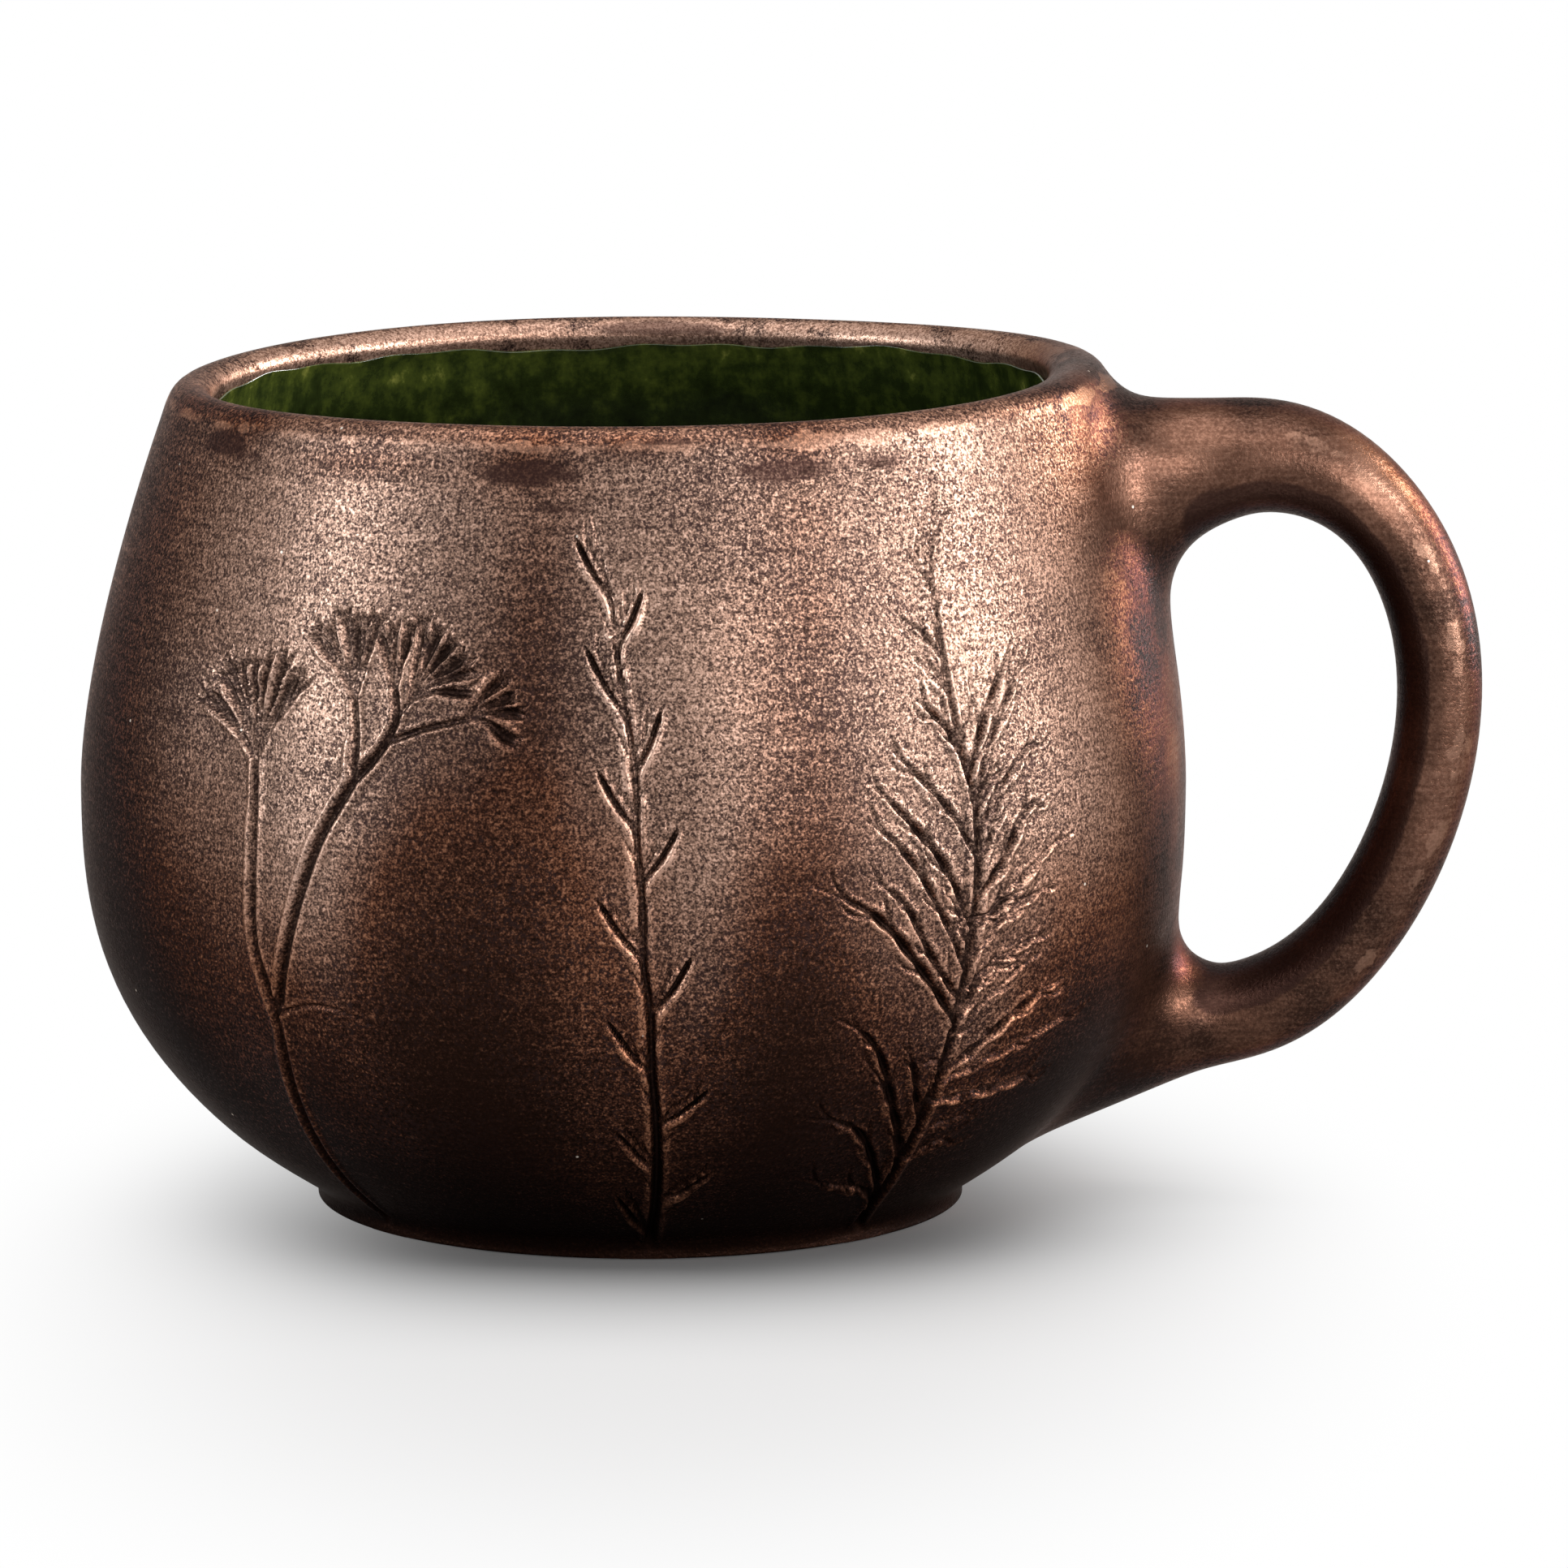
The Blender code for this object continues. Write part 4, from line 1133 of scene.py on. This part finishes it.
def buildGlaze():
    material = newMaterial("copperGreenGlaze")
    place = addNode(material, "TexCoord").outputs["Object"]
    level = addNode(material, "Attribute", attribute_name="level").outputs["Fac"]
    squeeze = (1.0, 1.0, glaze["runs"][0] / glaze["runLength"])
    along = addNode(material, "Mapping", {"Vector": place, "Scale": squeeze})
    mottle, runs = (
        addNode(material, "TexNoise", {
            "Vector": vector, "Scale": sized(period), "Detail": detail, "Roughness": rough
        })
        for vector, (period, detail, rough) in ((place, glaze["mottle"]), (along, glaze["runs"]))
    )
    tone, pool = (addNode(material, "MapRange", {"Value": level}, span=glaze[name]) for name in ("thin", "pool"))
    for part, share in ((mottle, glaze["weights"][0]), (runs, glaze["weights"][1]), (pool, 1.0)):
        tone = addNode(material, "Math", {0: part, 1: share, 2: tone}, operation="MULTIPLY_ADD")
    tint = addNode(material, "ValToRGB", {"Fac": tone}, stops=glaze["tones"])
    bump = addNode(material, "Bump", {"Height": runs, "Strength": glaze["bump"][0], "Distance": glaze["bump"][1]})
    shader = addNode(material, "BsdfPrincipled", {
        "Base Color": tint, "Roughness": glaze["roughness"], "Specular IOR Level": glaze["sheen"], "Normal": bump
    })
    addNode(material, "OutputMaterial", {"Surface": shader})
    return material


# Bare fired clay, and the slip that sticks the pieces together: matt, grainy, with darker iron specks
clay = {
    "grit": (0.5, 4.0, 0.7),        # period in mm, detail and roughness
    "specks": (1.6, 2.0, 0.5),
    "speckRange": (0.38, 0.46, 0.8, 0.0),
    "tones": ((0.3, "#3e2a22"), (0.55, "#5c4035"), (0.8, "#75533f")),
    "iron": "#1d1310",
    "roughness": 0.88,
    "bump": (0.6, 0.12 * mm),
}


def buildClay(name, fewer):
    # fewer lowers the share of iron specks
    material = newMaterial(name)
    place = addNode(material, "TexCoord").outputs["Object"]
    grit, specks = (
        addNode(material, "TexNoise", {
            "Vector": place, "Scale": sized(period), "Detail": detail, "Roughness": rough
        })
        for period, detail, rough in (clay["grit"], clay["specks"])
    )
    tint = addNode(material, "ValToRGB", {"Fac": grit}, stops=clay["tones"])
    low, high, most, least = clay["speckRange"]
    iron = addNode(material, "MapRange", {"Value": specks}, span=(low - fewer, high - fewer, most, least))
    tint = addNode(material, "Mix", {"Factor": iron, "A": tint, "B": clay["iron"]}, data_type="RGBA")
    bump = addNode(material, "Bump", {"Height": grit, "Strength": clay["bump"][0], "Distance": clay["bump"][1]})
    shader = addNode(material, "BsdfPrincipled", {
        "Base Color": tint, "Roughness": clay["roughness"], "Normal": bump
    })
    addNode(material, "OutputMaterial", {"Surface": shader})
    return material


rubbedLustre = buildLustre()
print("lustre mixed")
buildWall(rubbedLustre)
buildBase(buildClay("bareStoneware", 0.0))
buildLining(buildGlaze())
buildHandle(rubbedLustre)
firedSlip = buildClay("firedSlip", 0.03)
for name in ("base_joint_slip", "seam_coil", "upper_joint_slip", "lower_joint_slip"):
    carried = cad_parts[name].data.materials
    carried.clear()
    carried.append(firedSlip)
print("slip and coil coloured")

# Studio: a pale floor, soft lights and the camera
studio = {
    "floorRadius": 3.5,
    "floorSides": 128,
    "paper": "#ececec",
    "paperBounce": "#7a7a7a",       # what the paper sends back onto the mug
    "paperCentre": (0.008, -0.045, 0.0),
    "paperShape": (0.55, 1.0, 1.0),
    "paperFade": (0.03, 0.15, 0.05, 1.0),   # from here on the lit paper turns into plain white
    "fill": 0.31,                   # of the world's light on matt surfaces
    "distance": 0.9187,
    "elevation": 9.89,
    "aim": (14.68 * mm, 0.0, 41.11 * mm),
    "handleTurn": 3.63,             # degrees that the handle stands towards the camera
    "roll": 0.25,
    "focalPixels": 11385.6,
    "imagePixels": 1932,
    "sensor": 36.0,
    "clip": (0.05, 20.0),
    "lampDistance": 1.2,
    "lampAim": (0.0, 0.0, 0.045),
    # azimuth from the front towards the handle, elevation, width and height, radiance and tint
    "lamps": {
        "right_window": (42, 18, (0.76, 0.74), 6.4, (1.0, 1.0, 1.0)),
        "right_strip": (82, 18, (0.24, 0.74), 27.0, (1.0, 1.0, 1.0)),
        "back_right": (128, 14, (0.26, 0.62), 48.0, (1.0, 1.0, 1.0)),
        "left_strip": (-66, 18, (0.20, 0.74), 20.0, (0.86, 0.95, 1.0)),
        "top_light": (0, 80, (1.3, 1.3), 2.7, (1.0, 1.0, 1.0)),
    },
    "onPaper": ("top_light",),      # the others are flagged off the paper
}


def buildFloor():
    bm = bmesh.new()
    bmesh.ops.create_circle(bm, segments=studio["floorSides"], radius=studio["floorRadius"], cap_ends=True)
    mesh = bpy.data.meshes.new("studio_floor")
    bm.to_mesh(mesh)
    bm.free()
    floor = bpy.data.objects.new("studio_floor", mesh)
    bpy.context.scene.collection.objects.link(floor)
    material = newMaterial("studioPaper")
    place = addNode(material, "TexCoord").outputs["Object"]
    shifted = addNode(material, "Mapping", {
        "Vector": place, "Location": studio["paperCentre"], "Scale": studio["paperShape"]
    }, vector_type="TEXTURE")
    away = addNode(material, "VectorMath", {0: shifted}, operation="LENGTH").outputs["Value"]
    fade = {"span": studio["paperFade"], "interpolation_type": "SMOOTHERSTEP"}
    fade = addNode(material, "MapRange", {"Value": away}, **fade)
    rays = addNode(material, "LightPath").outputs
    seen = rays["Is Camera Ray"]
    for kind in ("Is Glossy Ray", "Is Transmission Ray"):
        seen = addNode(material, "Math", {0: seen, 1: rays[kind]}, operation="MAXIMUM")
    tint = addNode(material, "Mix", {
        "Factor": seen, "A": studio["paperBounce"], "B": studio["paper"]
    }, data_type="RGBA")
    paper = addNode(material, "BsdfDiffuse", {"Color": tint})
    white = addNode(material, "Emission", {"Color": (1, 1, 1, 1), "Strength": 1.0})
    share = addNode(material, "Math", {0: fade, 1: seen}, operation="MULTIPLY")
    mix = addNode(material, "MixShader", {0: share, 1: paper, 2: white})
    addNode(material, "OutputMaterial", {"Surface": mix})
    mesh.materials.append(material)


def addSoftbox(name, azimuth, elevation, size, radiance, tint):
    # a lamp that faces the mug
    turn, rise = math.radians(azimuth), math.radians(elevation)
    toLamp = Vector((math.sin(turn) * math.cos(rise), -math.cos(turn) * math.cos(rise), math.sin(rise)))
    data = bpy.data.lights.new(name, "AREA")
    data.shape = "RECTANGLE"
    data.size, data.size_y = size
    data.energy = radiance * math.pi * size[0] * size[1]
    data.color = tint
    lamp = bpy.data.objects.new(name, data)
    lamp.location = Vector(studio["lampAim"]) + toLamp * studio["lampDistance"]
    lamp.rotation_mode = "QUATERNION"
    lamp.rotation_quaternion = (-toLamp).to_track_quat("-Z", "Y")
    lamp.visible_camera = False
    bpy.context.scene.collection.objects.link(lamp)
    if name not in studio["onPaper"]:
        lit = bpy.data.collections.new(name + "_lights")
        lit.objects.link(bpy.data.objects["studio_floor"])
        lit.collection_objects[0].light_linking.link_state = "EXCLUDE"
        lamp.light_linking.receiver_collection = lit


def buildCamera():
    data = bpy.data.cameras.new("photo_view")
    data.sensor_width = studio["sensor"]
    data.lens = studio["focalPixels"] / studio["imagePixels"] * data.sensor_width
    data.clip_start, data.clip_end = studio["clip"]
    camera = bpy.data.objects.new("photo_view", data)
    turn = Matrix.Rotation(math.radians(studio["handleTurn"]), 4, "Z")
    tilt = math.radians(studio["elevation"])
    aim = turn @ Vector(studio["aim"])
    back = turn @ Vector((0.0, -math.cos(tilt), math.sin(tilt)))
    camera.location = aim + back * studio["distance"]
    camera.rotation_mode = "QUATERNION"
    roll = Matrix.Rotation(math.radians(studio["roll"]), 4, "Z").to_quaternion()
    camera.rotation_quaternion = (-back).to_track_quat("-Z", "Y") @ roll
    bpy.context.scene.collection.objects.link(camera)
    bpy.context.scene.camera = camera


def buildWorld():
    world = bpy.data.worlds.new("studio")
    world.use_nodes = True
    world.node_tree.nodes.clear()
    rays = addNode(world, "LightPath").outputs
    level = addNode(world, "MapRange", {"Value": rays["Is Diffuse Ray"]}, span=(0.0, 1.0, 1.0, studio["fill"]))
    background = addNode(world, "Background", {"Color": (1, 1, 1, 1), "Strength": level})
    addNode(world, "OutputWorld", {"Surface": background})
    bpy.context.scene.world = world


buildFloor()
for name, lamp in studio["lamps"].items():
    addSoftbox(name, *lamp)
buildCamera()
buildWorld()
bpy.context.scene.view_settings.view_transform = "Standard"
print("studio ready")
